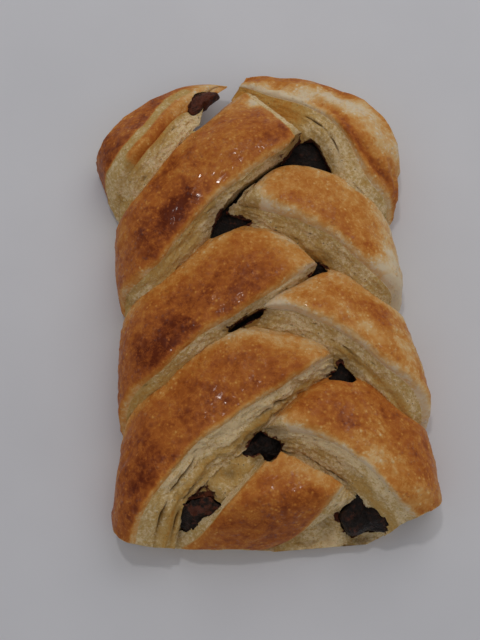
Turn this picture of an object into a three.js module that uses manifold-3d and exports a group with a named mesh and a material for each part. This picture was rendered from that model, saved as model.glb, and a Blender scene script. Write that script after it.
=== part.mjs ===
// Chocolate hazelnut braid: one sheet of laminated pastry, slit along both sides, whose strips
// are folded by turns over a slab of chocolate hazelnut filling and baked.
// Millimetres, +Z up. +Y runs along the braid, from its foot, where the lowest strips lie open,
// to its head. The origin is under the middle of the braid, on the face it rests on.
import * as THREE from "three";
import { mergeVertices } from "three/addons/utils/BufferGeometryUtils.js";
import Module from "manifold-3d";

const wasm = await Module();
wasm.setup();

const quarter = Math.PI / 2;
const { lerp, smoothstep } = THREE.MathUtils;

// The way every strip is folded: up the side, round the shoulder and across the filling.
const fold = {
  floor: 1.2, // height at which a strip leaves the edge of the sheet
  wall: 6.5, // straight rise beside the filling
  shoulder: 5, // inner radius of the turn over the filling
  middle: 3, // height above the inner face at which length along the sheet is measured
  thickness: 7, // dough between the filling and the outside of the wall
  heel: 3, // rounding of the wall where it leaves the face it rests on
  dome: 3.2, // how much higher the braid stands along its middle
  domeHalf: 34, // distance from the middle at which the dome ends
  slitSlant: 0.7, // shift towards the head for each millimetre along a slit, up to the first station
  bedTo: 4, // length along the strip from which the wall's section changes
  bedFrom: 20, // length along the strip from which it has its full section
  stations: [7, 15, 25, 37, 50], // lengths along the sheet at which the edges are given
};
const roof = fold.floor + fold.wall + fold.shoulder;

// Nothing holds the strips up at the two ends, so they sink there by these shares.
const headSink = { from: 40, to: 67, share: 0.65 };
const footSink = { from: -47, to: -62, share: 0.45 };

// The section of a strip. Its near edge is tucked under the strip before it, and its far edge
// stands up on the strip after it and shows the layers of the dough in a slanting cut face.
const section = {
  wallTuck: 6.3,
  wallLip: 7.3,
  topTuck: 3.2,
  topLip: 9.6,
  tuckFace: 1.6, // width of the face below the tucked edge
  cutFace: 10.5, // width of the slanting cut face below the lip
  crown: 1.5, // swelling of the top between the two edges
  bulge: 0.5, // swelling of the wall between two slits
  lipRound: 0.7,
  ledge: 0.45, // how far each layer stands out of the cut face
  rings: 20,
};
const topStations = [0, 0.12, 0.3, 0.5, 0.72, 0.9, 1];
const cutStations = [0.16, 0.36, 0.44, 0.66, 0.74, 1];

// The rounded end of a strip.
const tip = { round: 8, height: 0.4, narrow: 0.35, lean: 0, face: 0.8 };

// The nine strips, in the order in which they are folded, the last one from the foot. reach is how
// far the outside of the wall stands from the middle, at the tucked edge and at the lip. tuck and
// lip tell where these two edges lie across the strip's root, at the stations along the sheet.
const left = { outward: [-1, 0], lateral: [0, 1] };
const right = { outward: [1, 0], lateral: [0, 1] };
const foot = { outward: [0, -1], lateral: [1, 0] };
const strips = [
  {
    ...left, reach: [41.7, 35], length: 37.5,
    tuck: [51, 56.1, 62.2, 64.6, 62.2], lip: [31.7, 39.7, 53.5, 61, 66],
    section: { topTuck: 4.5, topLip: 8, tuckFace: 0.8, cutFace: 6.4 },
    tip: { round: 10, lean: -19, height: 0.5, narrow: 0.1 },
  },
  {
    ...right, reach: [42, 38.3], length: 45,
    stations: [7, 15, 19.5, 26, 40],
    tuck: [41.5, 54.3, 58.5, 62, 64.7], lip: [25.5, 31.2, 44.5, 52.3, 60.5],
    section: { topTuck: 6.4, topLip: 8, tuckFace: 4, cutFace: 9.6 },
    tip: { round: 5, face: 0.5 },
  },
  {
    ...left, reach: [35.9, 35.3], length: 51.5,
    tuck: [25.3, 32.6, 43.6, 54, 66.5], lip: [5.5, 8.9, 19.7, 30.1, 38],
    section: { topTuck: 3.6, crown: 2, tuckFace: 0.8, cutFace: 5.3 },
    tip: { round: 4, height: 0.75, narrow: 0.05, lean: 12.5, face: 0.3 },
  },
  {
    ...right, reach: [38.7, 38.3], length: 50,
    tuck: [18.5, 28, 34.8, 36.3, 26.9], lip: [0.5, 5.3, 16.4, 22.5, 28.5],
    section: { cutFace: 7, lipRound: 1.4 },
    tip: { lean: -2, height: 0.1, face: 0.7 },
  },
  {
    ...left, reach: [36.3, 37], length: 57,
    tuck: [0.5, 6.3, 12.8, 20, 19.5], lip: [-27.4, -18.5, -9.6, -3.2, 3.9],
    section: { cutFace: 5.5 },
    tip: { lean: 7, face: 0.5 },
  },
  {
    ...right, reach: [39.7, 42.8], length: 54,
    tuck: [-4.5, 0, 7.5, 5, -1.1], lip: [-31.5, -22.4, -12.3, -4, 0.3],
    section: { cutFace: 7.7, lipRound: 1.4 },
    tip: { height: 0.1, face: 0.7 },
  },
  {
    ...left, reach: [37.7, 40], length: 63,
    tuck: [-29, -20, -12.6, -5.3, -7.5], lip: [-90, -53, -37.6, -29, -22],
    section: { cutFace: 8, bulge: 3.2 },
    tip: { lean: 3, face: 0.5 },
  },
  {
    ...right, reach: [42.5, 43.5], length: 52,
    tuck: [-34.5, -29.5, -20.8, -21.5, -30.7], lip: [-71.4, -58.9, -44.6, -35.1, -31.3],
    section: { cutFace: 7.2 },
    tip: { height: 0.2, narrow: 0.7, lean: -5, face: 0.6 },
  },
  {
    ...foot, reach: [62, 62], length: 27.5,
    tuck: [-24.7, -16.5, -6.2, 6.2, 19.5], lip: [0.5, 9.7, 21.2, 35, 50],
    section: { topTuck: 5.5, topLip: 6, tuckFace: -1.6, cutFace: -5, wallTuck: 5, wallLip: 5 },
    tip: { round: 5, height: 0.6, narrow: 0, lean: -10.5 },
  },
];

// The middle of the sheet, which carries the filling, and the two corners of its head.
const beds = [
  { at: 0, x: 35, head: 50, foot: -62, bottom: 0, rise: 0, footTop: 4, taper: 16, square: 12 },
  { at: -27, x: 9.5, head: 55, foot: 30, bottom: 0, rise: 0, footTop: 10, taper: 6, square: 2.6 },
  { at: 20.5, x: 19.5, head: 62, foot: 30, bottom: 0, rise: 0, footTop: 10, taper: 6, square: 3 },
];
const profile = [[0.96, 0], [1, 0.25], [0.97, 0.75], [0.88, 1], [0.5, 1], [0.2, 1]];
const bedRings = 16;

// The outline that trims the ends of the slits, as corners in plan.
const trim = [
  [-46, 66], [-46, -44], [-40, -55.5], [-33, -58], [15, -63.2], [25, -62], [33, -56.5], [44, -53],
  [47, -44], [47, 66],
];

// The filling: a bed under the strips and the places where it wells up.
const spread = { at: 0, x: 26, head: 48, foot: -34, bottom: 6, rise: -0.2, footTop: 10, taper: 8, square: 4 };
const wells = [
  { at: [-1.5, -35.5, 9.5], size: [8, 6, 6.8] },
  { at: [-10, -41, 6.5], size: [11, 10, 3] },
  { at: [14, -42, 6.5], size: [12, 12, 3] },
  { at: [-20, 46, 9], size: [6, 8, 3.5] },
  { at: [-16, 54, 9.2], size: [4.2, 3.6, 1.7] },
];
const clearance = 0.3; // room between the filling and the dough

// The lumps of filling that have run out: their outline in plan, the height of their middle and of
// their edge above a level, which is that of the bed where none is given, and their underside.
const lumps = [
  {
    outline: [
      [-24.8, -51.7], [-23.3, -48.8], [-19.8, -46.3], [-16.2, -46.8], [-12.7, -47.6], [-12.3, -49.7],
      [-15.3, -51.5], [-17.6, -54.8], [-19.2, -55.9], [-22, -55.5], [-22.8, -53.4],
    ],
    lift: 1.5, edge: 0.1, bottom: 4,
  },
  {
    outline: [
      [21.1, -46], [18.9, -48.1], [18.2, -52.1], [16.5, -54.7], [17.7, -57.6], [19.5, -59.7],
      [23, -58], [26.5, -58.7], [28.8, -57.9], [30.5, -56.1], [29.8, -53.5], [25.3, -49.9], [22.5, -47.4],
    ],
    level: 10.4, lift: 2.6, edge: -1.2, bottom: 3.2,
  },
  {
    outline: [
      [-14.1, 56.6], [-12.9, 59], [-10.6, 60.9], [-7, 60.6], [-6.4, 59.4], [-9.3, 56.8], [-11.6, 54.7],
    ],
    level: 10.8, lift: 0.7, edge: -0.4, bottom: 7.4,
  },
];
const lumpShares = [1, 0.8, 0.55, 0.25]; // sizes of the rings over a lump, from its edge inwards

// The openings between the tips of the strips, which show the filling: the outline in plan of each
// one and the height down to which it is open.
const pits = [
  {
    outline: [
      [15.4, 43.3], [18.1, 43.7], [19.5, 41.7], [20.7, 38.3], [22.4, 33.8], [20.7, 34.6], [17.4, 36.2],
      [14.3, 36.7], [10.3, 36.5], [8.8, 36.6], [11.9, 39.3], [13.1, 41.4],
    ],
    low: 13,
  },
  {
    outline: [
      [-10.6, 18.9], [-9.4, 21.5], [-8.2, 23.8], [-6.8, 25.3], [-5, 24.9], [-1.5, 23.3], [0.6, 22.8],
      [-1.8, 22], [-6.4, 20.2],
    ],
    low: 13,
  },
  { outline: [[13.9, 6.4], [15.4, 8.1], [16.6, 10.4], [17.9, 9.8], [19.2, 7.8], [16.9, 7.7]], low: 13 },
  {
    outline: [
      [-7.9, -6], [-5.7, -4.1], [-2.7, -2.5], [-0.4, -1.4], [1.5, -1], [1.1, -2.5], [-1.6, -3.6],
      [-3.9, -4.7], [-6.4, -6.1],
    ],
    low: 14,
  },
  {
    outline: [
      [16.2, -19.7], [19.1, -17.9], [19.9, -15.4], [21.2, -17.3], [23.8, -20.1], [22.4, -21.2], [18.9, -20.2],
    ],
    low: 12.5,
  },
  {
    outline: [
      [-4.8, -35.1], [-4.2, -33.7], [-1.7, -31.3], [-0.6, -32.7], [3.8, -35], [2, -37.7], [-0.6, -39.5],
      [-2.2, -36.6],
    ],
    low: 13,
  },
];

// The narrow gap along the foot of the third strip: points of its middle line with its half widths.
const crevice = {
  line: [
    [10.2, 37.6], [6.6, 35.9], [4.1, 34.2], [0.8, 32], [-1.4, 30.5], [-3.4, 28.5], [-5.4, 26.8], [-7, 25],
  ],
  wide: [0.7, 0.35, 0.3, 0.35, 0.45, 0.6, 0.6, 0.9],
  low: 14,
};

const looks = {
  dough: { color: 0xb4702f, roughness: 0.45 },
  filling: { color: 0x2b1812, roughness: 0.5 },
};

// The share of its height that the braid keeps at y.
function standing(y) {
  const head = smoothstep(y, headSink.from, headSink.to) * headSink.share;
  const low = (1 - smoothstep(y, footSink.to, footSink.from)) * footSink.share;
  return 1 - head - low;
}

// A point of a folded strip, from its length along the sheet, its place across the strip's
// root and its height above the inner face.
function folded(strip, reach, along, across, height) {
  const low = THREE.MathUtils.clamp(1 - along / fold.heel, 0, 1);
  const heel = fold.heel * (1 - Math.sqrt(1 - low ** 2));
  const inner = reach - fold.thickness - heel;
  const turn = THREE.MathUtils.clamp((along - fold.wall) / (fold.shoulder + fold.middle), 0, quarter);
  const over = Math.max(along - fold.wall - quarter * (fold.shoulder + fold.middle), 0);
  const out = inner - fold.shoulder + (fold.shoulder + height) * Math.cos(turn) - over;
  const rise = Math.min(along, fold.wall) + (fold.shoulder + height) * Math.sin(turn);
  const x = strip.outward[0] * out + strip.lateral[0] * across;
  const y = strip.outward[1] * out + strip.lateral[1] * across;
  const dome = fold.dome * Math.sin(turn) * Math.max(1 - (x / fold.domeHalf) ** 2, 0);
  return new THREE.Vector3(x, y, fold.floor + (rise + dome) * standing(y));
}

// The place of an edge across the strip's root, at a length along the sheet.
function edgeAt(strip, key, along) {
  const stations = strip.stations ?? fold.stations;
  const edge = strip[key];
  const last = stations.length - 1;
  const slopeAt = (i) => {
    const [a, b] = [Math.max(i - 1, 0), Math.min(i + 1, last)];
    return (edge[b] - edge[a]) / (stations[b] - stations[a]);
  };
  if (along <= stations[0]) return edge[0] + fold.slitSlant * (along - stations[0]);
  if (along >= stations[last]) return edge[last] + slopeAt(last) * (along - stations[last]);
  const i = stations.findLastIndex((station) => station < along);
  const span = stations[i + 1] - stations[i];
  const u = (along - stations[i]) / span;
  const start = (1 + 2 * u) * (1 - u) ** 2 * edge[i] + u * (1 - u) ** 2 * span * slopeAt(i);
  return start + u * u * (3 - 2 * u) * edge[i + 1] + u * u * (u - 1) * span * slopeAt(i + 1);
}

function slantAt(strip, key, along) {
  return edgeAt(strip, key, along + 0.5) - edgeAt(strip, key, along - 0.5);
}

// One ring of points round a strip, a share of the way from its root to its end.
function ringOf(strip, share) {
  const cut = { ...section, ...strip.section };
  const end = { ...tip, ...strip.tip };
  const rounding = Math.sqrt(1 - Math.max(1 - ((1 - share) * strip.length) / end.round, 0) ** 2);
  const full = smoothstep(share * strip.length, fold.bedTo, fold.bedFrom);
  const shrink = lerp(end.height, 1, rounding);
  const tucked = lerp(cut.wallTuck, cut.topTuck, full) * shrink;
  const lip = lerp(cut.wallLip, cut.topLip, full) * shrink;
  const face = cut.cutFace * lerp(1, end.face, smoothstep(share, 0.5, 1));
  const point = (q, offset, height) => {
    const narrow = lerp(end.narrow * (1 - rounding), 1, q);
    const along = share * (strip.length + end.lean * (narrow - 0.5) * share);
    const place = lerp(edgeAt(strip, "tuck", along), edgeAt(strip, "lip", along), narrow);
    const slant = lerp(slantAt(strip, "tuck", along), slantAt(strip, "lip", along), narrow);
    const aside = offset / Math.hypot(1, slant);
    const reach = lerp(strip.reach[0], strip.reach[1], narrow);
    return folded(strip, reach, along - aside * slant, place + aside, height);
  };
  const ring = [point(0, cut.tuckFace, 0), point(0, cut.tuckFace * 0.5, tucked * 0.55)];
  for (const q of topStations) {
    const round = q === 0 || q === 1 ? cut.lipRound : 0;
    const swell = lerp(cut.bulge, cut.crown, full) * 4 * q * (1 - q) * shrink;
    ring.push(point(q, 0, lerp(tucked, lip, q) + swell - round));
  }
  cutStations.forEach((v, i) => {
    const ledge = i % 2 === 0 ? cut.ledge : -cut.ledge;
    const out = i + 1 < cutStations.length ? ledge : 0;
    ring.push(point(1, -face * v - out, (lip - cut.lipRound) * (1 - v) + out * 0.6));
  });
  ring.push(point(0.66, 0, 0), point(0.33, 0, 0));
  return ring;
}

// A closed surface through rings of as many points each, capped at both ends.
function loft(rings) {
  const count = rings[0].length;
  const position = rings.flat().flatMap((p) => p.toArray());
  const index = [];
  for (let r = 0; r + 1 < rings.length; r += 1) {
    for (let i = 0; i < count; i += 1) {
      const next = (i + 1) % count;
      const [a, b] = [r * count + i, r * count + next];
      const [c, d] = [a + count, b + count];
      const across = rings[r][i].distanceTo(rings[r + 1][next]) < rings[r][next].distanceTo(rings[r + 1][i]);
      index.push(...(across ? [a, b, d, a, d, c] : [a, b, c, b, d, c]));
    }
  }
  for (const start of [0, (rings.length - 1) * count]) {
    const ring = rings[start / count];
    const middle = ring.reduce((sum, p) => sum.add(p), new THREE.Vector3()).divideScalar(count);
    const centre = position.length / 3;
    position.push(...middle.toArray());
    for (let i = 0; i < count; i += 1) {
      const rim = [start + i, start + ((i + 1) % count)];
      index.push(centre, ...(start === 0 ? rim.reverse() : rim));
    }
  }
  const geometry = new THREE.BufferGeometry();
  geometry.setAttribute("position", new THREE.Float32BufferAttribute(position, 3));
  geometry.setIndex(index);
  return geometry;
}

// A solid from a closed surface, whichever way round its triangles run.
function solid(geometry) {
  const bare = new THREE.BufferGeometry();
  bare.setAttribute("position", geometry.getAttribute("position"));
  bare.setIndex(geometry.getIndex());
  const merged = mergeVertices(bare, 1e-4);
  const vertProperties = merged.attributes.position.array;
  const triVerts = new Uint32Array(merged.index.array);
  const made = new wasm.Manifold(new wasm.Mesh({ numProp: 3, vertProperties, triVerts }));
  if (made.volume() > 0) return made;
  return new wasm.Manifold(new wasm.Mesh({ numProp: 3, vertProperties, triVerts: triVerts.reverse() }));
}

// The height of a bed: that of the underside of the strips, and lower towards its foot.
function bedHeight(own, x, y) {
  const dome = fold.dome * Math.max(1 - (x / fold.domeHalf) ** 2, 0);
  const under = fold.floor + (roof - fold.floor + dome) * standing(y) + own.rise;
  return lerp(own.footTop, under, smoothstep(y - own.foot, 0, own.taper));
}

// A bed with rounded corners, grown all round.
function bed(own, grow) {
  const middle = (own.head + own.foot) / 2;
  const half = (own.head - own.foot) / 2 + grow;
  const low = own.bottom - grow;
  const rings = [];
  for (let i = 0; i <= bedRings; i += 1) {
    const t = Math.sin(lerp(-quarter, quarter, i / bedRings)) * 0.995;
    const y = middle + half * t;
    const wide = (own.x + grow) * (1 - Math.abs(t) ** own.square) ** (1 / own.square);
    const pointAt = ([w, h]) => {
      const x = own.at + w * wide;
      return new THREE.Vector3(x, y, lerp(low, bedHeight(own, x, y) + grow, h));
    };
    rings.push([...profile.map(pointAt), ...profile.map(([w, h]) => pointAt([-w, h])).reverse()]);
  }
  return solid(loft(rings));
}

// A prism over an outline in plan, from a height up past the top of the braid.
function prism(outline, low) {
  const shape = new THREE.Shape(outline.map(([x, y]) => new THREE.Vector2(x, y)));
  const drawn = new THREE.ExtrudeGeometry(shape, { depth: 2 * roof + fold.dome, bevelEnabled: false });
  return solid(drawn.translate(0, 0, low));
}

// The outline of a band of changing width along a line.
function bandOutline({ line, wide }) {
  const sideOf = (way) => line.map(([x, y], i) => {
    const [behind, ahead] = [line[Math.max(i - 1, 0)], line[Math.min(i + 1, line.length - 1)]];
    const aside = new THREE.Vector2(behind[1] - ahead[1], ahead[0] - behind[0]).setLength(way * wide[i]);
    return [x + aside.x, y + aside.y];
  });
  return [...sideOf(1), ...sideOf(-1).reverse()];
}

function wellSolid({ at, size }, grow) {
  const well = new THREE.SphereGeometry(1, 12, 8);
  well.scale(...size.map((radius) => radius + grow));
  return solid(well.translate(...at));
}

// A lump over an outline: a wall all round and a rounded top.
function lumpSolid({ outline, level, lift, edge, bottom }, grow) {
  const centre = new THREE.Vector2();
  for (const [x, y] of outline) centre.add(new THREE.Vector2(x, y).divideScalar(outline.length));
  const ringAt = (share, height) => outline.map(([x, y]) => {
    const away = new THREE.Vector2(x, y).sub(centre);
    away.setLength(away.length() + grow).multiplyScalar(share).add(centre);
    const base = level ?? bedHeight(beds[0], away.x, away.y);
    return new THREE.Vector3(away.x, away.y, height ?? base + lerp(lift, edge, share ** 4) + grow);
  });
  return solid(loft([ringAt(1, bottom - grow), ...lumpShares.map((share) => ringAt(share))]));
}

function fillingSolid(grow) {
  const raised = [...wells.map((own) => wellSolid(own, grow)), ...lumps.map((own) => lumpSolid(own, grow))];
  return raised.reduce((sum, each) => sum.add(each), bed(spread, grow));
}

function stripSolid(strip) {
  const rings = [];
  for (let i = 0; i <= section.rings; i += 1) rings.push(ringOf(strip, i / section.rings));
  return solid(loft(rings));
}

function meshOf(made, name) {
  const { vertProperties, triVerts } = made.getMesh();
  const geometry = new THREE.BufferGeometry();
  geometry.setAttribute("position", new THREE.BufferAttribute(vertProperties, 3));
  geometry.setIndex(new THREE.BufferAttribute(triVerts, 1));
  geometry.computeVertexNormals();
  const mesh = new THREE.Mesh(geometry, new THREE.MeshStandardMaterial(looks[name]));
  mesh.name = name;
  return mesh;
}

// The outer skin of a solid alone, without bubbles closed in between the strips.
function withoutBubbles(made) {
  return made.decompose().reduce((most, each) => (each.volume() > most.volume() ? each : most));
}

const parts = [...beds.map((own) => bed(own, 0)), ...strips.map(stripSolid)];
const folds = parts.reduce((sum, each) => sum.add(each));
const braided = withoutBubbles(folds.intersect(prism(trim, 0)));
const openings = [...pits.map(({ outline, low }) => prism(outline, low)), prism(bandOutline(crevice), crevice.low)];
const opened = openings.reduce((rest, each) => rest.subtract(each), braided);
const dough = withoutBubbles(opened.subtract(fillingSolid(clearance)));

const braid = new THREE.Group();
braid.add(meshOf(dough, "dough"), meshOf(fillingSolid(0), "filling"));

// The folds aren't quite even, so the braid is moved until its middle stands over the origin.
const middle = new THREE.Box3().setFromObject(braid).getCenter(new THREE.Vector3());
for (const mesh of braid.children) mesh.geometry.translate(-middle.x, -middle.y, 0);
export default braid;
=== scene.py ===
# Chocolate hazelnut braid: nine strips of laminated pastry, folded by turns over a filling.
# Lengths are millimetres until a piece is made. The foot of the braid points to -Y.
import itertools
import math

import bmesh
import bpy
import numpy as np
from mathutils import Matrix, Vector


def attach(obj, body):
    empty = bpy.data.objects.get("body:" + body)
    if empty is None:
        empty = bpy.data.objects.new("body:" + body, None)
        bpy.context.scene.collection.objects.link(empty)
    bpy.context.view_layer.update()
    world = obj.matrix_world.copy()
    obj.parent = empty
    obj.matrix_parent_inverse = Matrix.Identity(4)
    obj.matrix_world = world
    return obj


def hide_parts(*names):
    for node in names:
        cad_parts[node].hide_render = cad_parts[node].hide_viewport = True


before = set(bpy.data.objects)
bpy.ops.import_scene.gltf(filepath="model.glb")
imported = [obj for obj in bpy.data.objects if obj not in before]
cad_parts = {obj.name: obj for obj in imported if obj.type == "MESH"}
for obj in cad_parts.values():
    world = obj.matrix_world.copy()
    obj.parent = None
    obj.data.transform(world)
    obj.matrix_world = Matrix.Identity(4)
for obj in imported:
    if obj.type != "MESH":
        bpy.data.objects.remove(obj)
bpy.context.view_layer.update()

mm = 0.001
foldMiddle = np.array([1.107, 2.14, 0.0])  # this point of the folds stands over the origin


# Noise

def hashed(cells, seed):
    mixed = np.sin(cells @ np.array([127.1, 311.7, 74.7]) + seed * 17.13) * 43758.5453
    return mixed - np.floor(mixed)


def softNoise(points, seed):
    cell = np.floor(points)
    part = points - cell
    part = part * part * (3 - 2 * part)
    total = 0
    for corner in itertools.product((0, 1), repeat=3):
        total = total + np.prod(np.where(corner, part, 1 - part), axis=-1) * hashed(cell + corner, seed)
    return total * 2 - 1


def cloudNoise(points, seed, octaves=3):
    total, weight = 0, 1
    for octave in range(octaves):
        total = total + weight * softNoise(points * 2.03 ** octave, seed + octave * 5)
        weight *= 0.5
    return total


def cellNoise(points, seed):
    # distance to the nearest of scattered spots, and that spot's own random number
    cell = np.floor(points)
    nearest = np.full(points.shape[:-1], 9.0)
    own = np.zeros(points.shape[:-1])
    for step in itertools.product((-1, 0, 1), repeat=3):
        place = cell + step
        spot = place + np.stack([hashed(place, seed + axis * 3) for axis in range(3)], axis=-1)
        distance = np.linalg.norm(points - spot, axis=-1)
        closer = distance < nearest
        nearest = np.where(closer, distance, nearest)
        own = np.where(closer, hashed(place, seed + 11), own)
    return nearest, own


def smoothStep(x, low, high):
    t = np.clip((x - low) / (high - low), 0, 1)
    return t * t * (3 - 2 * t)


def window(x, low, high, soft):
    return smoothStep(x, low - soft, low + soft) * (1 - smoothStep(x, high - soft, high + soft))


def hump(x, width):
    return np.exp(-((x / width) ** 2))


def mix(a, b, t):
    return a + (b - a) * t


def stacked(*parts):
    return np.stack(np.broadcast_arrays(*parts), axis=-1)


# Meshes

def setValues(made, key, flat):
    kind, member = ("FLOAT_VECTOR", "vector") if flat.ndim > 1 else ("FLOAT", "value")
    layer = made.attributes.get(key) or made.attributes.new(key, kind, "POINT")
    layer.data.foreach_set(member, np.ascontiguousarray(flat, dtype=np.float32).ravel())


def getValues(made, key, wide=1):
    flat = np.empty(len(made.vertices) * wide, np.float32)
    made.attributes[key].data.foreach_get("vector" if wide > 1 else "value", flat)
    return flat.reshape(-1, wide) if wide > 1 else flat


def pointsOf(made):
    flat = np.empty(len(made.vertices) * 3, np.float32)
    made.vertices.foreach_get("co", flat)
    return flat.reshape(-1, 3).astype(float)


def edgesOf(made):
    flat = np.empty(len(made.edges) * 2, np.int32)
    made.edges.foreach_get("vertices", flat)
    return flat.reshape(-1, 2).T


def flipOutward(made):
    sheet = bmesh.new()
    sheet.from_mesh(made)
    if sheet.calc_volume(signed=True) < 0:
        bmesh.ops.reverse_faces(sheet, faces=sheet.faces)
        sheet.to_mesh(made)
    sheet.free()


# what is kept at each point: browning, cut dough or crust, place along the strip, chocolate, and dark, the
# painted shade of pores, cracks, crevices, pits and hollows
kept = {"bake": 1, "cut": 1, "run": 3, "smear": 1, "dark": 1}


def closedMesh(name, grid, values):
    # a closed mesh through a grid of rings, with a cap at each end
    rings, count = grid.shape[:2]
    verts = np.concatenate([grid.reshape(-1, 3), grid[[0, -1]].mean(axis=1)])
    r, i = np.meshgrid(np.arange(rings - 1), np.arange(count), indexing="ij")
    j = (i + 1) % count
    here, after = r * count, (r + 1) * count
    quads = np.stack([here + i, here + j, after + j, after + i], axis=-1).reshape(-1, 4)
    i = np.arange(count)
    j = (i + 1) % count
    start = np.stack([i * 0 + rings * count, j, i], axis=-1)
    stop = np.stack([i * 0 + rings * count + 1, (rings - 1) * count + i, (rings - 1) * count + j], axis=-1)
    made = bpy.data.meshes.new(name)
    made.from_pydata(verts.tolist(), [], quads.tolist() + start.tolist() + stop.tolist())
    for key, wide in kept.items():
        value = values.get(key, 0)
        value = np.broadcast_to(value, grid.shape[:2] if wide == 1 else grid.shape)
        ends = value[[0, -1]].mean(axis=1)
        setValues(made, key, np.concatenate([value.reshape(-1, *value.shape[2:]), ends]))
    setValues(made, "known", np.ones(len(verts)))
    flipOutward(made)
    return made


def newPiece(name, made):
    piece = bpy.data.objects.new(name, made)
    bpy.context.scene.collection.objects.link(piece)
    return piece


def combined(base, others, operation):
    # joins, cuts or trims the first mesh by the others
    piece = newPiece("work", base)
    group = bpy.data.collections.new("workTools")
    tools = [newPiece("tool", other) for other in others]
    for tool in tools:
        group.objects.link(tool)
    step = piece.modifiers.new("step", "BOOLEAN")
    step.operation, step.solver = operation, "MANIFOLD"
    step.operand_type, step.collection = "COLLECTION", group
    made = bpy.data.meshes.new_from_object(piece.evaluated_get(bpy.context.evaluated_depsgraph_get()))
    for each in [piece, *tools]:
        bpy.data.objects.remove(each)
    bpy.data.collections.remove(group)
    return made


def onlyLargest(made):
    # keeps the outer skin alone, without bubbles closed in between the strips
    a, b = edgesOf(made)
    label = np.arange(len(made.vertices))
    while True:
        low = np.minimum(label[a], label[b])
        lower = label.copy()
        np.minimum.at(lower, a, low)
        np.minimum.at(lower, b, low)
        lower = lower[lower]
        if (lower == label).all():
            break
        label = lower
    names, counts = np.unique(label, return_counts=True)
    drop = label != names[counts.argmax()]
    sheet = bmesh.new()
    sheet.from_mesh(made)
    sheet.verts.ensure_lookup_table()
    bmesh.ops.delete(sheet, geom=[sheet.verts[i] for i in np.flatnonzero(drop)], context="VERTS")
    sheet.to_mesh(made)
    sheet.free()


def fillSeams(made):
    # points made where two surfaces cut each other take the mean of their neighbours
    a, b = edgesOf(made)
    known = getValues(made, "known") > 0.99
    stores = {key: getValues(made, key, wide) for key, wide in kept.items()}
    while not known.all():
        weight = np.zeros(len(known))
        np.add.at(weight, a, known[b])
        np.add.at(weight, b, known[a])
        fresh = ~known & (weight > 0)
        if not fresh.any():
            break
        for key, store in stores.items():
            mask, share = (known, weight) if store.ndim == 1 else (known[:, None], weight[:, None])
            total = np.zeros(store.shape)
            np.add.at(total, a, (store * mask)[b])
            np.add.at(total, b, (store * mask)[a])
            store[fresh] = (total / np.maximum(share, 1))[fresh]
        known = known | fresh
    for key, store in stores.items():
        setValues(made, key, store)


# Strips

fold = {
    "floor": 1.2, "wall": 6.5, "shoulder": 5, "middle": 3, "thickness": 7, "heel": 3,
    "dome": 3.2, "domeHalf": 34, "slitSlant": 0.7, "bedTo": 4, "bedFrom": 20,
    "headSink": (40, 67, 0.65), "footSink": (-62, -47, 0.45),
    "stations": (7, 15, 25, 37, 50),
}
roof = fold["floor"] + fold["wall"] + fold["shoulder"]

section = {
    "wallTuck": 6.3, "wallLip": 7.3, "topTuck": 3.2, "topLip": 9.6, "tuckFace": 1.6, "cutFace": 10.5,
    "crown": 1.5, "bulge": 0.5, "lipRound": 1.6, "tuckRound": 0.9, "ragged": 0.7,
}
tip = {"round": 8, "height": 0.4, "narrow": 0.35, "lean": 0, "face": 0.8, "lipRound": 2.0}

# browning: 0 is pale, 0.4 light gold, 0.7 brown and 1 the darkest. Bands and patches add to it.
# bare is a stretch of the top near the lip that is dough without crust: from, to, start, stop, tone
# blisters are patches: along the strip, from the tucked edge, radius, height and how much paler
# flaky is how lumpy the crust is, and crumbly how rough the cut face
looks = {
    "brown": 0.66, "towardsLip": 0.1, "tuckEdge": (3, -0.2), "lipEdge": (1.1, -0.4), "root": (8, 0),
    "end": (7, -0.15), "bands": (), "bare": (), "bareEnd": 0, "bareSoft": 0.3, "blisters": (),
    "cutTone": 0.15, "cutBands": (), "cracks": (), "ridges": (), "topRidges": (), "tuckIsCut": 0,
    "flaky": 0.15, "crumbly": 1.2,
}

left = {"outward": (-1, 0), "lateral": (0, 1)}
right = {"outward": (1, 0), "lateral": (0, 1)}
foot = {"outward": (0, -1), "lateral": (1, 0)}

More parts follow.
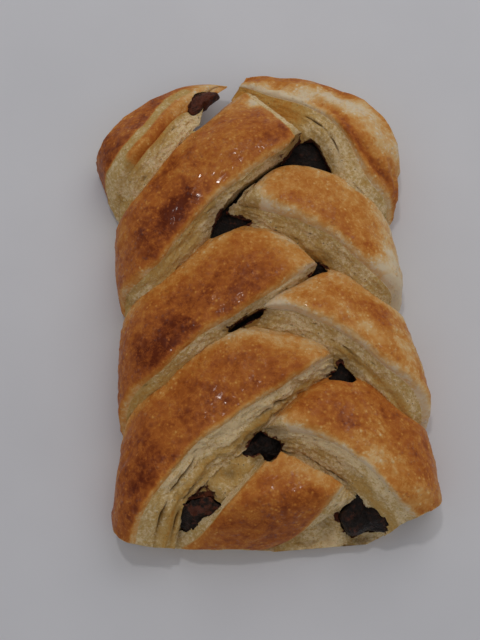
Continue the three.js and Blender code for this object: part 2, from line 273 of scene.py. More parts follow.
strips = [
    {
        **left, "name": "left0", "reach": (41.7, 35), "length": 37.5,
        "tuck": (51, 56.1, 62.2, 64.6, 62.2), "lip": (31.7, 39.7, 53.5, 61, 66),
        "section": {"topTuck": 4.5, "topLip": 8, "tuckFace": 0.8, "cutFace": 6.4},
        "tip": {"round": 10, "lean": -19, "height": 0.5, "narrow": 0.1},
        "looks": {
            "brown": 0.74, "tuckEdge": (1, 0), "lipEdge": (1.2, 0), "end": (9, -0.3),
            "bands": ((-1.2, 1.3, -0.2, 8, 60), (-7.5, 2.5, 0.04, 0, 60)),
            "bare": ((2.0, 4.3, 0, 33, 0.26), (-1, 4.0, 0, 15, 0.2)), "topRidges": ((1.0, 12, 50, 1.3, 0.6),),
            "cutTone": 0.14, "cutBands": ((0.0, 0.16, 0.3, 14, 60),),
        },
    },
    {
        **right, "name": "right0", "reach": (42, 38.3), "length": 45,
        "stations": (7, 15, 19.5, 26, 40),
        "tuck": (41.5, 54.3, 58.5, 62, 64.7), "lip": (25.5, 31.2, 44.5, 52.3, 60.5),
        "section": {"topTuck": 6.4, "topLip": 8, "tuckFace": 4, "cutFace": 9.6, "ragged": 2.4},
        "tip": {"round": 5, "face": 0.5},
        "looks": {
            "brown": 0.45, "tuckEdge": (1.3, 0.2), "lipEdge": (0.7, -0.3), "towardsLip": 0.0, "end": (4, 0),
            "bands": ((4.6, 2.6, -0.42, 16, 60), (-2.3, 1.5, 0.3, 5, 27), (-9.5, 2.5, -0.25, 0, 15)),
            "cutTone": 0.14, "cutBands": ((0.5, 1.0, 0.6, 27, 60), (0.95, 0.2, 0.3, 14, 27)),
            "cracks": ((0.3, 14, 27, 0.24, 0.8), (0.24, 2, 12, 0.22, 0.8)), "flaky": 1.2,
            "topRidges": ((2.6, 12, 60, 1.2, -0.5), (0.2, 16, 60, 1.0, 0.3)),
        },
    },
    {
        **left, "name": "left1", "reach": (35.9, 35.3), "length": 51.5,
        "tuck": (25.3, 32.6, 43.6, 54, 66.5), "lip": (5.5, 8.9, 19.7, 30.1, 38),
        "section": {"topTuck": 3.6, "crown": 2, "cutFace": 5.3, "tuckFace": 0.8},
        "tip": {"round": 4, "height": 0.75, "narrow": 0.05, "lean": 12.5, "face": 0.3, "lipRound": 1.6},
        "looks": {
            "brown": 0.64, "towardsLip": 0.06, "tuckEdge": (2.0, -0.1), "end": (2.5, -0.1), "bareEnd": 1.3,
            "cutTone": 0.08,
            "cutBands": ((0.1, 0.2, 0.2, 0, 60), (0.5, 0.6, 0.25, 17, 27), (0.5, 0.6, -0.12, 34, 52)),
            "blisters": ((26, 14.4, 4, 0.25, 0), (40, 12, 3.5, 0.25, 0.04)),
        },
    },
    {
        **right, "name": "right1", "reach": (38.7, 38.3), "length": 50,
        "tuck": (18.5, 28, 34.8, 36.3, 26.9), "lip": (0.5, 5.3, 16.4, 22.5, 28.5),
        "section": {"cutFace": 7, "lipRound": 3},
        "tip": {"lean": -2, "lipRound": 6, "height": 0.1, "face": 0.7},
        "looks": {
            "brown": 0.5, "towardsLip": 0.14, "tuckEdge": (2.5, -0.12), "lipEdge": (2.2, -0.4),
            "root": (12, -0.34), "end": (9, -0.25), "bareEnd": 6.5, "bareSoft": 2,
            "cutTone": 0.22, "cutBands": ((0.85, 0.14, 0.35, 14, 34),),
            "blisters": ((13, 12.5, 2.4, 0.45, 0.3), (19, 13, 1.5, 0.4, 0.25)),
        },
    },
    {
        **left, "name": "left2", "reach": (36.3, 37), "length": 57,
        "tuck": (0.5, 6.3, 12.8, 20, 19.5), "lip": (-27.4, -18.5, -9.6, -3.2, 3.9),
        "section": {"cutFace": 5.5},
        "tip": {"lean": 7, "face": 0.5, "lipRound": 2.6},
        "looks": {
            "brown": 0.68, "tuckEdge": (3, -0.2), "end": (7, -0.28), "cutTone": 0.1,
            "cutBands": ((0.72, 0.14, 0.4, 20, 60), (0.5, 0.6, 0.4, 0, 24), (0.4, 0.3, 0.16, 26, 40)),
            "cracks": ((0.6, 16, 24, 0.3, 0.8),), "blisters": ((21.5, 13, 3, 0.2, 0),),
        },
    },
    {
        **right, "name": "right2", "reach": (39.7, 42.8), "length": 54,
        "tuck": (-4.5, 0, 7.5, 5, -1.1), "lip": (-31.5, -22.4, -12.3, -4, 0.3),
        "section": {"cutFace": 7.7, "lipRound": 3},
        "tip": {"lipRound": 6, "height": 0.1, "face": 0.7},
        "looks": {
            "brown": 0.5, "towardsLip": 0.12, "tuckEdge": (2.5, -0.15), "lipEdge": (2.0, -0.4),
            "root": (12, -0.15), "end": (14, -0.35), "cutTone": 0.16, "bareEnd": 7, "bareSoft": 2.5,
            "cutBands": ((0.45, 0.12, 0.4, 8, 30), (0.9, 0.12, 0.25, 0, 60)),
            "cracks": ((0.3, 24, 31, 0.3, 0.6),),
            "blisters": ((15, 8, 3.4, 0.6, 0.24), (10, 11, 3, 0.5, 0.15)),
        },
    },
    {
        **left, "name": "left3", "reach": (37.7, 40), "length": 63,
        "tuck": (-29, -20, -12.6, -5.3, -7.5), "lip": (-90, -53, -37.6, -29, -22),
        "section": {"cutFace": 8, "bulge": 3.2},
        "tip": {"lean": 3, "face": 0.5, "lipRound": 2.4},
        "looks": {
            "brown": 0.67, "tuckEdge": (3, -0.25), "end": (8, -0.2), "cutTone": 0.02, "crumbly": 2.2,
            "cutBands": ((0.62, 0.1, 0.4, 14, 60), (0.85, 0.1, 0.2, 0, 60), (0.5, 0.6, 0.26, 0, 20)),
            "cracks": ((0.36, 12, 27, 0.36, 1.2), (0.78, 14, 24, 0.35, 0.8), (0.5, 44, 52, 0.3, 0.6)),
            "ridges": ((0.6, 12, 50, 1.2, 0.8),),
        },
    },
    {
        **right, "name": "right3", "reach": (42.5, 43.5), "length": 52,
        "tuck": (-34.5, -29.5, -20.8, -21.5, -30.7), "lip": (-71.4, -58.9, -44.6, -35.1, -31.3),
        "section": {"cutFace": 7.2},
        "tip": {"narrow": 0.7, "lean": -5, "face": 0.6, "lipRound": 4.5, "height": 0.2},
        # its cut face is painted paler: painted light on a face turned from the lamps
        "looks": {
            "brown": 0.58, "towardsLip": -0.06, "tuckEdge": (1.2, -0.05), "root": (9, -0.1),
            "end": (9, -0.35), "bareEnd": 6, "bareSoft": 2, "cutTone": 0.06,
            "cutBands": ((0.6, 0.22, 0.3, 0, 26), (0.6, 0.22, 0.14, 26, 60), (0.1, 0.2, -0.1, 26, 60)),
            "cracks": ((0.92, 20, 40, 0.3, 0.6),),
            "blisters": ((24.5, 9.3, 4, 0.7, 0.42), (20, 13, 2.8, 0.6, 0.35), (36, 7, 2.5, 0.4, 0.2)),
        },
    },
    {
        **foot, "name": "foot", "reach": (62, 62), "length": 27.5,
        "tuck": (-24.7, -16.5, -6.2, 6.2, 19.5), "lip": (0.5, 9.7, 21.2, 35, 50),
        "section": {
            "topTuck": 5.5, "topLip": 6, "tuckFace": -1.6, "cutFace": -5, "wallTuck": 5, "wallLip": 5,
        },
        "tip": {"round": 5, "height": 0.6, "narrow": 0, "lean": -10.5},
        "looks": {
            "brown": 0.66, "towardsLip": 0.05, "tuckEdge": (1.2, -0.1), "end": (4, -0.15), "root": (6, 0.1),
            "tuckIsCut": 1, "cutTone": 0.12,
        },
    },
]

# places that are browner or paler than the rest of their strip: x, y, radii, turn and change
patches = [
    (4.6, 56.6, 2.6, 1.6, 30, -0.4), (1.5, 57.5, 7, 4, 30, -0.2), (11.5, 46.5, 5, 4, 0, 0.06),
    (-17.8, 26.5, 8, 4, 42, 0.32), (-26, 18, 9, 5, 60, 0.14), (-9, 31, 5, 2.5, 40, -0.05),
    (9, 45, 6, 4, 40, 0.1), (-22, 36, 9, 1.6, 48, 0.16), (11.5, -43.5, 7, 2.6, -42, -0.24),
    (4, -40.5, 3, 2, 0, -0.06),
    (-31, 56, 6, 2.5, 35, -0.12), (13.5, 50, 3, 2, -40, -0.1), (-6.7, 39.6, 6, 4, 40, -0.08),
    (2.7, 17.4, 11, 4.5, 10, 0.02), (-12.2, 14.1, 9, 2.5, 45, -0.1), (-22, -5.9, 6, 5, 45, 0.24),
    (-5.5, 4.5, 4, 3, 40, 0.12), (29.5, -2.5, 3.5, 2.5, -40, 0.18), (22.5, -33.5, 5, 3, -35, 0.12),
    (9, -46, 5, 2.5, -35, 0.1), (-3, -3, 6, 3, 20, 0.08),
    (-27.5, -12.3, 4, 5, 20, 0.18), (-14.3, 2.5, 7, 4, 45, 0.08), (-2.3, -6.7, 9, 2.4, 8, -0.2),
    (-32, -38, 5, 9, -15, 0.18), (-17.4, -22.7, 7, 4, 45, 0.07), (7.3, -12, 6, 4, -20, -0.1),
    (11.2, 26.8, 3.5, 2, -15, 0.16), (20.3, 19.4, 5, 2, -35, 0.1), (27.9, 12.8, 5, 2.4, -45, 0.14),
    (32.1, 8.8, 2.2, 1.6, -45, -0.3), (0.3, 25.8, 5, 4, 0, -0.12), (36, 9, 3, 9, 12, -0.3),
    (14, -0.8, 5, 2, -15, 0.08), (19.5, -3.2, 6, 2.4, -25, -0.12), (32, -5.8, 3.5, 2.2, -40, 0.2),
    (20, 2.5, 6, 2, -30, 0.1), (16, -29, 6, 4, -20, 0.1), (20, -32, 5, 3, -35, 0.08),
    (27.4, -8.5, 2.6, 1.7, -45, -0.28), (31, -11, 3, 1.5, -50, -0.22), (36.5, -14, 2.5, 6, 12, -0.14),
    (37.5, -7.5, 1.8, 3.5, 10, 0.12), (29.6, -28.9, 6, 3, -45, 0.1), (36.6, -40, 4, 8, 12, 0.08),
    (22.7, -35.9, 3.4, 2.4, -40, -0.22), (25.8, -40.5, 2.6, 2.2, -40, -0.26), (30, -44, 3, 2, -40, -0.15),
    (37, -50.6, 5, 3, 10, -0.2), (10.8, -30, 5, 3, 20, -0.05), (-6, -54.5, 9, 3, 0, 0.08),
    (6.6, -49.4, 4, 3, 0, 0.06), (-30, 52, 6, 2, 35, -0.06), (33, 47, 3, 8, 25, -0.1),
]

# rings are crowded towards the tip, and a rounded corner takes at most a share of the height
mesh = {
    "step": 0.42, "topPoints": 56, "facePoints": 28, "tuckPoints": 6, "underPoints": 14,
    "crowding": 1.35, "cornerShare": 0.8,
}
# waves of both edges of a strip: height, length, and the row of the noise they come from
edgeWaves = ((0.4, 6, 0.5), (0.15, 1.9, 3.5), (0.2, 3.1, 5.5))


def standing(y):
    head = smoothStep(y, *fold["headSink"][:2]) * fold["headSink"][2]
    low = (1 - smoothStep(y, *fold["footSink"][:2])) * fold["footSink"][2]
    return 1 - head - low


def folded(strip, reach, along, across, height):
    low = np.clip(1 - along / fold["heel"], 0, 1)
    inner = reach - fold["thickness"] - fold["heel"] * (1 - np.sqrt(1 - low ** 2))
    bend = fold["shoulder"] + fold["middle"]
    turn = np.clip((along - fold["wall"]) / bend, 0, math.pi / 2)
    over = np.maximum(along - fold["wall"] - math.pi / 2 * bend, 0)
    out = inner - fold["shoulder"] + (fold["shoulder"] + height) * np.cos(turn) - over
    rise = np.minimum(along, fold["wall"]) + (fold["shoulder"] + height) * np.sin(turn)
    x = strip["outward"][0] * out + strip["lateral"][0] * across
    y = strip["outward"][1] * out + strip["lateral"][1] * across
    dome = fold["dome"] * np.sin(turn) * np.maximum(1 - (x / fold["domeHalf"]) ** 2, 0)
    return stacked(x, y, fold["floor"] + (rise + dome) * standing(y))


def edgeAt(strip, key, along):
    stations = np.array(strip.get("stations", fold["stations"]), float)
    edge = np.array(strip[key], float)
    ahead, behind = np.r_[edge[1:], edge[-1]], np.r_[edge[0], edge[:-1]]
    slope = (ahead - behind) / (np.r_[stations[1:], stations[-1]] - np.r_[stations[0], stations[:-1]])
    i = np.clip(np.searchsorted(stations, along, side="left") - 1, 0, len(stations) - 2)
    span = stations[i + 1] - stations[i]
    u = (along - stations[i]) / span
    curve = (1 + 2 * u) * (1 - u) ** 2 * edge[i] + u * (1 - u) ** 2 * span * slope[i]
    curve = curve + u * u * (3 - 2 * u) * edge[i + 1] + u * u * (u - 1) * span * slope[i + 1]
    before = edge[0] + fold["slitSlant"] * (along - stations[0])
    after = edge[-1] + slope[-1] * (along - stations[-1])
    return np.where(along <= stations[0], before, np.where(along >= stations[-1], after, curve))


def slantAt(strip, key, along):
    return edgeAt(strip, key, along + 0.5) - edgeAt(strip, key, along - 0.5)


def stripSurface(strip, seed):
    cut = {**section, **strip["section"]}
    end = {**tip, **strip["tip"]}
    rings = int(strip["length"] / mesh["step"])
    share = (1 - (1 - np.linspace(0, 1, rings)) ** mesh["crowding"])[:, None]
    rounding = np.sqrt(1 - np.maximum(1 - (1 - share) * strip["length"] / end["round"], 0) ** 2)
    full = smoothStep(share * strip["length"], fold["bedTo"], fold["bedFrom"])
    shrink = mix(end["height"], 1, rounding)
    tucked = mix(cut["wallTuck"], cut["topTuck"], full) * shrink
    lip = mix(cut["wallLip"], cut["topLip"], full) * shrink
    face = cut["cutFace"] * mix(1, end["face"], smoothStep(share, 0.5, 1))
    lipRound = mix(cut["lipRound"], end["lipRound"], smoothStep(share, 0.6, 0.9))
    lipRound = np.minimum(lipRound, lip * mesh["cornerShare"])
    tuckRound = np.minimum(cut["tuckRound"], tucked * mesh["cornerShare"])

    # round the strip: tucked face, top, cut face and underside
    even = np.linspace(0, 1, mesh["topPoints"])
    top = even - np.sin(2 * math.pi * even) / (4 * math.pi)
    tuckRun = np.linspace(1, 0, mesh["tuckPoints"], endpoint=False)
    faceRun = np.linspace(0, 1, mesh["facePoints"] + 1)[1:]
    underRun = np.linspace(1, 0, mesh["underPoints"] + 2)[1:-1]
    q = np.r_[tuckRun * 0, top, faceRun * 0 + 1, underRun][None, :]
    zone = np.r_[tuckRun * 0, top * 0 + 1, faceRun * 0 + 2, underRun * 0 + 3][None, :]
    back = np.r_[tuckRun, top * 0, faceRun * 0, underRun * 0][None, :]
    down = np.r_[tuckRun * 0, top * 0, faceRun, underRun * 0][None, :]

    even = share * strip["length"]
    wobble = 0
    for rise, size, row in edgeWaves:
        wobble = wobble + rise * softNoise(stacked(even / size, row, seed), seed)
    swell = mix(cut["bulge"], cut["crown"], full) * 4 * q * (1 - q) * shrink
    width = np.abs(edgeAt(strip, "lip", even) - edgeAt(strip, "tuck", even)) * 0.8
    nearLip = np.clip(1 - (1 - q) * width / lipRound, 0, 1)
    nearTuck = np.clip(1 - q * width / tuckRound, 0, 1)
    corners = lipRound * (1 - np.sqrt(1 - nearLip ** 2)) + tuckRound * (1 - np.sqrt(1 - nearTuck ** 2))
    onTuck, onTop = (tucked - tuckRound) * (1 - back), mix(tucked, lip, q) + swell - corners
    onFace = (lip - lipRound) * (1 - down)
    height = np.select([zone == 0, zone == 1, zone == 2], [onTuck, onTop, onFace], 0)
    offset = cut["tuckFace"] * back - face * down

    narrow = mix(end["narrow"] * (1 - rounding), 1, q)
    along = share * (strip["length"] + end["lean"] * (narrow - 0.5) * share)
    place = mix(edgeAt(strip, "tuck", along), edgeAt(strip, "lip", along), narrow)
    place = place + wobble * mix(cut["ragged"], 1, q)
    slant = mix(slantAt(strip, "tuck", along), slantAt(strip, "lip", along), narrow)
    aside = offset / np.hypot(1, slant)
    reach = mix(strip["reach"][0], strip["reach"][1], narrow)
    points = folded(strip, reach, along - aside * slant, place + aside, height)
    ones = np.ones(along.shape)
    return {
        "points": points, "q": q * ones, "zone": zone * ones, "down": down * ones, "along": along,
        "toTuck": q * width, "toLip": (1 - q) * width, "depth": down * np.hypot(face, lip),
        "faceLength": np.hypot(face, lip) * ones, "toEnd": (1 - share) * strip["length"] * ones,
    }


def outwardNormals(points):
    alongStep = np.gradient(points, axis=0)
    roundStep = np.roll(points, -1, axis=1) - np.roll(points, 1, axis=1)
    normal = np.cross(alongStep, roundStep)
    normal /= np.maximum(np.linalg.norm(normal, axis=-1, keepdims=True), 1e-9)
    middle = points.mean(axis=1, keepdims=True)
    return normal * np.sign(np.sum(normal * (points - middle)))


# heights and sizes of the waves of the crust
crustForm = {
    "swell": 0.45, "swellSize": (13, 8, 1), "ripple": 0.16, "rippleSize": (4.2, 3.4, 1),
    "flake": 0.7, "flakeSize": (3.4, 2.2, 1), "crisp": 0.3, "crispSize": 1.3, "bubbleSize": (1.6, 1.4, 1),
}
# blisters all over the crust: size, the share of spots without one, and height
smallBlisters = ((3.1, 0.5, 0.28), (1.7, 0.35, 0.17), (1.15, 0.25, 0.13))

# the same for the cut faces, what share of spots has no crumb and what share has a pore, and poreShade the
# painted shade in a pore
cutForm = {
    "coarse": 0.26, "coarseSize": (2.6, 1.5, 1), "fine": 0.2, "fineSize": (1.1, 0.8, 1),
    "swell": 0.32, "swellSize": (7, 3.4, 1), "crumb": 0.2, "crumbSize": (1.25, 1.05, 1),
    "crumbReach": 0.6, "withoutCrumb": 0.45, "poreDepth": 0.5, "poreReach": 0.4, "withPore": 0.035,
    "poreShade": 0.6, "steady": 99,
}


def crustRelief(s, seed, look):
    # waves, lumps where the strip is flaky, blisters of three sizes and patches crowded with them
    at = stacked(s["along"], s["toTuck"], seed * 7.7)
    relief = crustForm["swell"] * softNoise(at / crustForm["swellSize"], seed)
    relief = relief + crustForm["ripple"] * softNoise(at / crustForm["rippleSize"], seed + 1)
    flakes = crustForm["flake"] * softNoise(at / crustForm["flakeSize"], seed + 6)
    flakes = flakes + crustForm["crisp"] * softNoise(at / crustForm["crispSize"], seed + 7)
    relief += look["flaky"] * flakes
    for size, low, rise in smallBlisters:
        distance, own = cellNoise(at / (size, size * 0.9, 1), seed + size)
        reach = 0.35 + 0.25 * own
        relief += rise * np.clip(1 - (distance / reach) ** 2, 0, 1) ** 1.3 * (own > low)
    distance, own = cellNoise(at / crustForm["bubbleSize"], seed + 30)
    bubble = np.clip(1 - (distance / (0.4 + 0.2 * own)) ** 2, 0, 1)
    pale = 0 * relief
    for along, toTuck, wide, rise, change in look["blisters"]:
        area = hump(s["along"] - along, wide) * hump(s["toTuck"] - toTuck, wide)
        relief += rise * area * bubble
        pale = pale + change * area * (0.2 + 0.8 * bubble)
    return relief, pale


def cutRelief(s, seed, look):
    # soft dough with a coarse crumb, some pores, cracks between its layers and folded ridges; pores and
    # cracks also get painted shade
    # cracks and ridges waver along the strip only, because steady is a very long wave down the face
    at = stacked(s["along"], s["depth"], seed * 3.3)
    steady = cutForm["steady"]
    relief = cutForm["coarse"] * softNoise(at / cutForm["coarseSize"], seed + 5)
    relief = relief + cutForm["fine"] * softNoise(at / cutForm["fineSize"], seed + 9)
    relief = look["crumbly"] * relief + cutForm["swell"] * softNoise(at / cutForm["swellSize"], seed + 4)
    distance, own = cellNoise(at / cutForm["crumbSize"], seed + 8)
    crumbs = np.clip(1 - (distance / cutForm["crumbReach"]) ** 2, 0, 1) * (own > cutForm["withoutCrumb"])
    relief += cutForm["crumb"] * crumbs
    shadedPore = np.clip(1 - (distance / cutForm["poreReach"]) ** 2, 0, 1) * (own < cutForm["withPore"])
    relief -= cutForm["poreDepth"] * shadedPore
    # painted shade in the pores
    dark = cutForm["poreShade"] * shadedPore
    for middle, start, stop, width, depth in look["cracks"]:
        across = (s["down"] - middle) * s["faceLength"] + 0.7 * softNoise(at / (6, steady, 1), seed + 12)
        across += 0.4 * softNoise(at / (1.7, steady, 1), seed + 15)
        split = hump(across, width) * window(s["along"], start, stop, 2)
        split *= smoothStep(softNoise(at / (2.4, steady, 1), seed + 13), -0.6, 0.3)
        relief -= depth * split
        # painted shade in the cracks
        dark = dark + split
    for middle, start, stop, width, rise in look["ridges"]:
        across = (s["down"] - middle) * s["faceLength"] + 0.5 * softNoise(at / (8, steady, 1), seed + 14)
        relief += rise * hump(across, width) * window(s["along"], start, stop, 3)
    return relief, np.clip(dark, 0, 1)


# how softly bands, ends and bare places begin and end, and how far their edges wander
fades = {
    "warp": 1.1, "warpSize": (4, 4, 1), "root": 1.6, "endFrom": 0.4, "endTo": 1.4, "bandEnds": 4,
    "bareSides": 0.5, "bareEnds": 2,
}


def browning(s, seed, look):
    at = stacked(s["along"], s["toTuck"], seed * 5.1)
    warp = fades["warp"] * softNoise(at / fades["warpSize"], seed + 20)
    toTuck, toLip, toEnd = (np.maximum(s[key] + warp, 0) for key in ("toTuck", "toLip", "toEnd"))
    tone = look["brown"] + look["towardsLip"] * (s["q"] - 0.5)
    tone += look["tuckEdge"][1] * hump(toTuck, look["tuckEdge"][0])
    tone += look["lipEdge"][1] * hump(s["toLip"], look["lipEdge"][0])
    tone += look["root"][1] * (1 - smoothStep(s["along"] + warp, 0, look["root"][0] * fades["root"]))
    length, change = look["end"]
    tone += change * (1 - smoothStep(toEnd, length * fades["endFrom"], length * fades["endTo"]))
    for middle, half, change, start, stop in look["bands"]:
        across = toTuck - middle if middle >= 0 else toLip + middle
        tone += change * hump(across, half) * window(s["along"], start, stop, fades["bandEnds"])
    cutTone = look["cutTone"] + 0 * tone
    for middle, half, change, start, stop in look["cutBands"]:
        across = s["down"] + 0.03 * warp - middle
        cutTone += change * hump(across, half) * window(s["along"], start, stop, fades["bandEnds"])
    bare = np.zeros(tone.shape)
    for near, far, start, stop, own in look["bare"]:
        area = window(s["toLip"] + 0.4 * warp, near, far, fades["bareSides"])
        area = area * window(s["along"], start, stop, fades["bareEnds"])
        bare, tone = np.maximum(bare, area), mix(tone, own, area)
    if look["bareEnd"]:
        area = s["toEnd"] + (0.2 + look["bareSoft"]) * warp
        area = 1 - smoothStep(area, look["bareEnd"] - look["bareSoft"], look["bareEnd"] + look["bareSoft"])
        bare, tone = np.maximum(bare, area), mix(tone, look["cutTone"], area)
    return tone, cutTone, bare


# how far in from each edge the relief has its full height, down as a share of the cut face
reliefFrom = {"tuck": 1.5, "lip": 1.2, "down": 0.08, "start": 3}


def stripMesh(strip, seed):
    s = stripSurface(strip, seed)
    look = {**looks, **strip["looks"]}
    onTop, onCut, onTuck = s["zone"] == 1, s["zone"] == 2, s["zone"] == 0
    relief, pale = crustRelief(s, seed, look)
    for middle, start, stop, width, rise in look["topRidges"]:
        relief += rise * hump(s["toLip"] - middle, width) * window(s["along"], start, stop, 3)
    sides = smoothStep(s["toTuck"], 0, reliefFrom["tuck"]), smoothStep(s["toLip"], 0, reliefFrom["lip"])
    relief *= onTop * sides[0] * sides[1]
    # dark is the painted shade of the pores and cracks
    layers, dark = cutRelief(s, seed, look)
    relief += layers * onCut * smoothStep(s["down"], 0, reliefFrom["down"])
    relief *= smoothStep(s["along"], 0, reliefFrom["start"])
    points = s["points"] + outwardNormals(s["points"]) * relief[..., None]
    points[..., 2] = np.maximum(points[..., 2], 0)
    tone, cutTone, bare = browning(s, seed, look)
    tone = tone - pale
    values = {
        "bake": np.where(onCut | (onTuck & (look["tuckIsCut"] > 0)), cutTone, tone),
        "cut": onCut + onTuck * look["tuckIsCut"] + onTop * bare,
        "dark": dark * onCut, "run": stacked(s["along"], s["toTuck"], s["depth"]),
    }
    return closedMesh(strip["name"], points, values)


# Beds: the middle of the sheet, which carries the filling, and the two corners of its head

bed = {"bottom": 0, "rise": 0, "footTop": 10, "taper": 6, "rough": 0.4}
beds = [
    {**bed, "at": 0, "x": 35, "head": 50, "foot": -62, "footTop": 4, "taper": 16, "square": 12, "rough": 0.6},
    {**bed, "at": -27, "x": 9.5, "head": 55, "foot": 30, "square": 2.6},
    {**bed, "at": 20.5, "x": 19.5, "head": 62, "foot": 30, "square": 3},
]
spread = {
    **bed, "at": 0, "x": 26, "head": 48, "foot": -34, "bottom": 6, "rise": -0.2, "taper": 8, "square": 4,
    "rough": 1.0,
}
bedProfile = np.array([(0.96, 0), (1, 0.25), (0.97, 0.75), (0.88, 1), (0.5, 1), (0.2, 1)])


def bedHeight(own, x, y):
    dome = fold["dome"] * np.maximum(1 - (x / fold["domeHalf"]) ** 2, 0)
    under = fold["floor"] + (roof - fold["floor"] + dome) * standing(y) + own["rise"]
    return mix(own["footTop"], under, smoothStep(y - own["foot"], 0, own["taper"]))


def bedSurface(own, grow, rings=90, fine=8):
    middle, half = (own["head"] + own["foot"]) / 2, (own["head"] - own["foot"]) / 2 + grow
    side = np.concatenate([bedProfile, (bedProfile * (-1, 1))[::-1]])
    closed = np.concatenate([side, side[:1]])
    steps = np.arange(len(side) * fine) / fine
    w = np.interp(steps, np.arange(len(closed)), closed[:, 0])[None, :]
    h = np.interp(steps, np.arange(len(closed)), closed[:, 1])[None, :]
    t = (np.sin(np.linspace(-math.pi / 2, math.pi / 2, rings)) * 0.995)[:, None]
    y = middle + half * t + 0 * w
    wide = (own["x"] + grow) * (1 - np.abs(t) ** own["square"]) ** (1 / own["square"])
    x = own["at"] + w * wide
    z = mix(own["bottom"] - grow, bedHeight(own, x, y) + grow, h)
    return np.stack([x, y, z], axis=-1), h + 0 * t


# torn is how much rougher the foot is; browning and the painted shade in hollows are those of the left and
# the right
bedForm = {
    "torn": 1.6, "tornFrom": 30, "tornTo": 44, "lumpSize": (3.4, 2.6, 9), "paleFrom": -2, "paleTo": 12,
    "browning": (0.32, 0.1), "hollowShading": (0.55, 0.12),
}


def bedMesh(own, grow, seed, smear=0.0):
    grid, h = bedSurface(own, grow)
    torn = 1 + bedForm["torn"] * smoothStep(-grid[..., 1], bedForm["tornFrom"], bedForm["tornTo"])
    lift = own["rough"] * torn * cloudNoise(grid / bedForm["lumpSize"], seed, 4) * smoothStep(h, 0.6, 1)
    grid = grid + lift[..., None] * np.array([0, 0, 1])
    pale = smoothStep(grid[..., 0], bedForm["paleFrom"], bedForm["paleTo"])
    # painted shade where the bed's surface sinks
    hollowShade = smoothStep(-lift, -0.2, 0.9) * (1 - smear) * mix(*bedForm["hollowShading"], pale)
    values = {
        "bake": mix(*bedForm["browning"], pale), "cut": 1.0, "run": grid, "smear": smear, "dark": hollowShade,
    }
    return closedMesh("bed", grid, values)


# Filling: a bed under the strips, wells of it, and lumps with an outline of their own where it shows

wells = [
    {"at": (-1.5, -35.5, 9.5), "size": (8, 6, 6.8)},
    {"at": (-10, -41, 6.5), "size": (11, 10, 3)},
    {"at": (14, -42, 6.5), "size": (12, 12, 3)},
    {"at": (-20, 46, 9), "size": (6, 8, 3.5)},
    {"at": (-16, 54, 9.2), "size": (4.2, 3.6, 1.7)},
]
lumps = [
    {
        "outline": (
            (-24.6, -52.2), (-23.4, -49.0), (-19.8, -46.7), (-16.4, -46.5), (-13.6, -48.0), (-12.2, -50.6),
            (-13.2, -53.4), (-16.0, -55.6), (-18.8, -57.0), (-22.0, -56.2),
        ),
        "lift": 2.8, "edge": 1.6, "bottom": 4, "rough": 1.3, "smear": 0.85,
    },
    {
        "outline": (
            (21.1, -46.0), (18.9, -48.1), (18.2, -52.1), (16.5, -54.7), (17.7, -57.6), (19.5, -59.7),
            (23.0, -58.0), (26.5, -58.7), (28.8, -57.9), (30.5, -56.1), (29.8, -53.5), (25.3, -49.9),
            (22.5, -47.4),
        ),
        "level": 10.8, "slope": 0.25, "lift": 2.6, "edge": 0.2, "bottom": 3.2, "rough": 1.0, "smear": 1.3,
    },
    {
        "outline": (
            (-14.3, 56.9), (-13.1, 59.6), (-10.4, 61.3), (-7.2, 61.3), (-5.2, 60.4), (-7.8, 58.9),
            (-9.9, 57.0), (-12.0, 54.9), (-13.8, 55.3),
        ),
        "level": 10.8, "lift": 0.7, "edge": -0.1, "bottom": 7.4, "rough": 0.5, "smear": 0.3,
    },
]
clearance = 0.3
# rings over the top of a lump and down its side, then heights and sizes of its roughness
lumpForm = {
    "rings": 26, "sides": 6, "ragged": 0.7, "raggedSize": 2.4, "clots": 0.7, "clotSize": 1.8,
    "cells": 0.9, "cellSize": (2.1, 2.1, 1), "thinner": 0.6, "thinSize": (2.8, 2.0, 1),
}
wellForm = {"rings": 60, "around": 80, "swell": 0.9, "swellSize": 3.2, "grain": 0.25, "grainSize": 0.9}
spacing = {"step": 0.45, "lastGap": 0.2}


def rounded(outline, times=2):
    # cuts the corners of a closed outline, then sets its points at even steps
    outline = np.array(outline, float)
    for _ in range(times):
        ahead = np.roll(outline, -1, axis=0)
        cut = [outline * 0.75 + ahead * 0.25, outline * 0.25 + ahead * 0.75]
        outline = np.stack(cut, axis=1).reshape(-1, 2)
    closed = np.concatenate([outline, outline[:1]])
    run = np.r_[0, np.cumsum(np.linalg.norm(np.diff(closed, axis=0), axis=1))]
    steps = np.arange(0, run[-1] - spacing["lastGap"], spacing["step"])
    x, y = np.interp(steps, run, closed[:, 0]), np.interp(steps, run, closed[:, 1])
    return np.stack([x, y], axis=1), steps


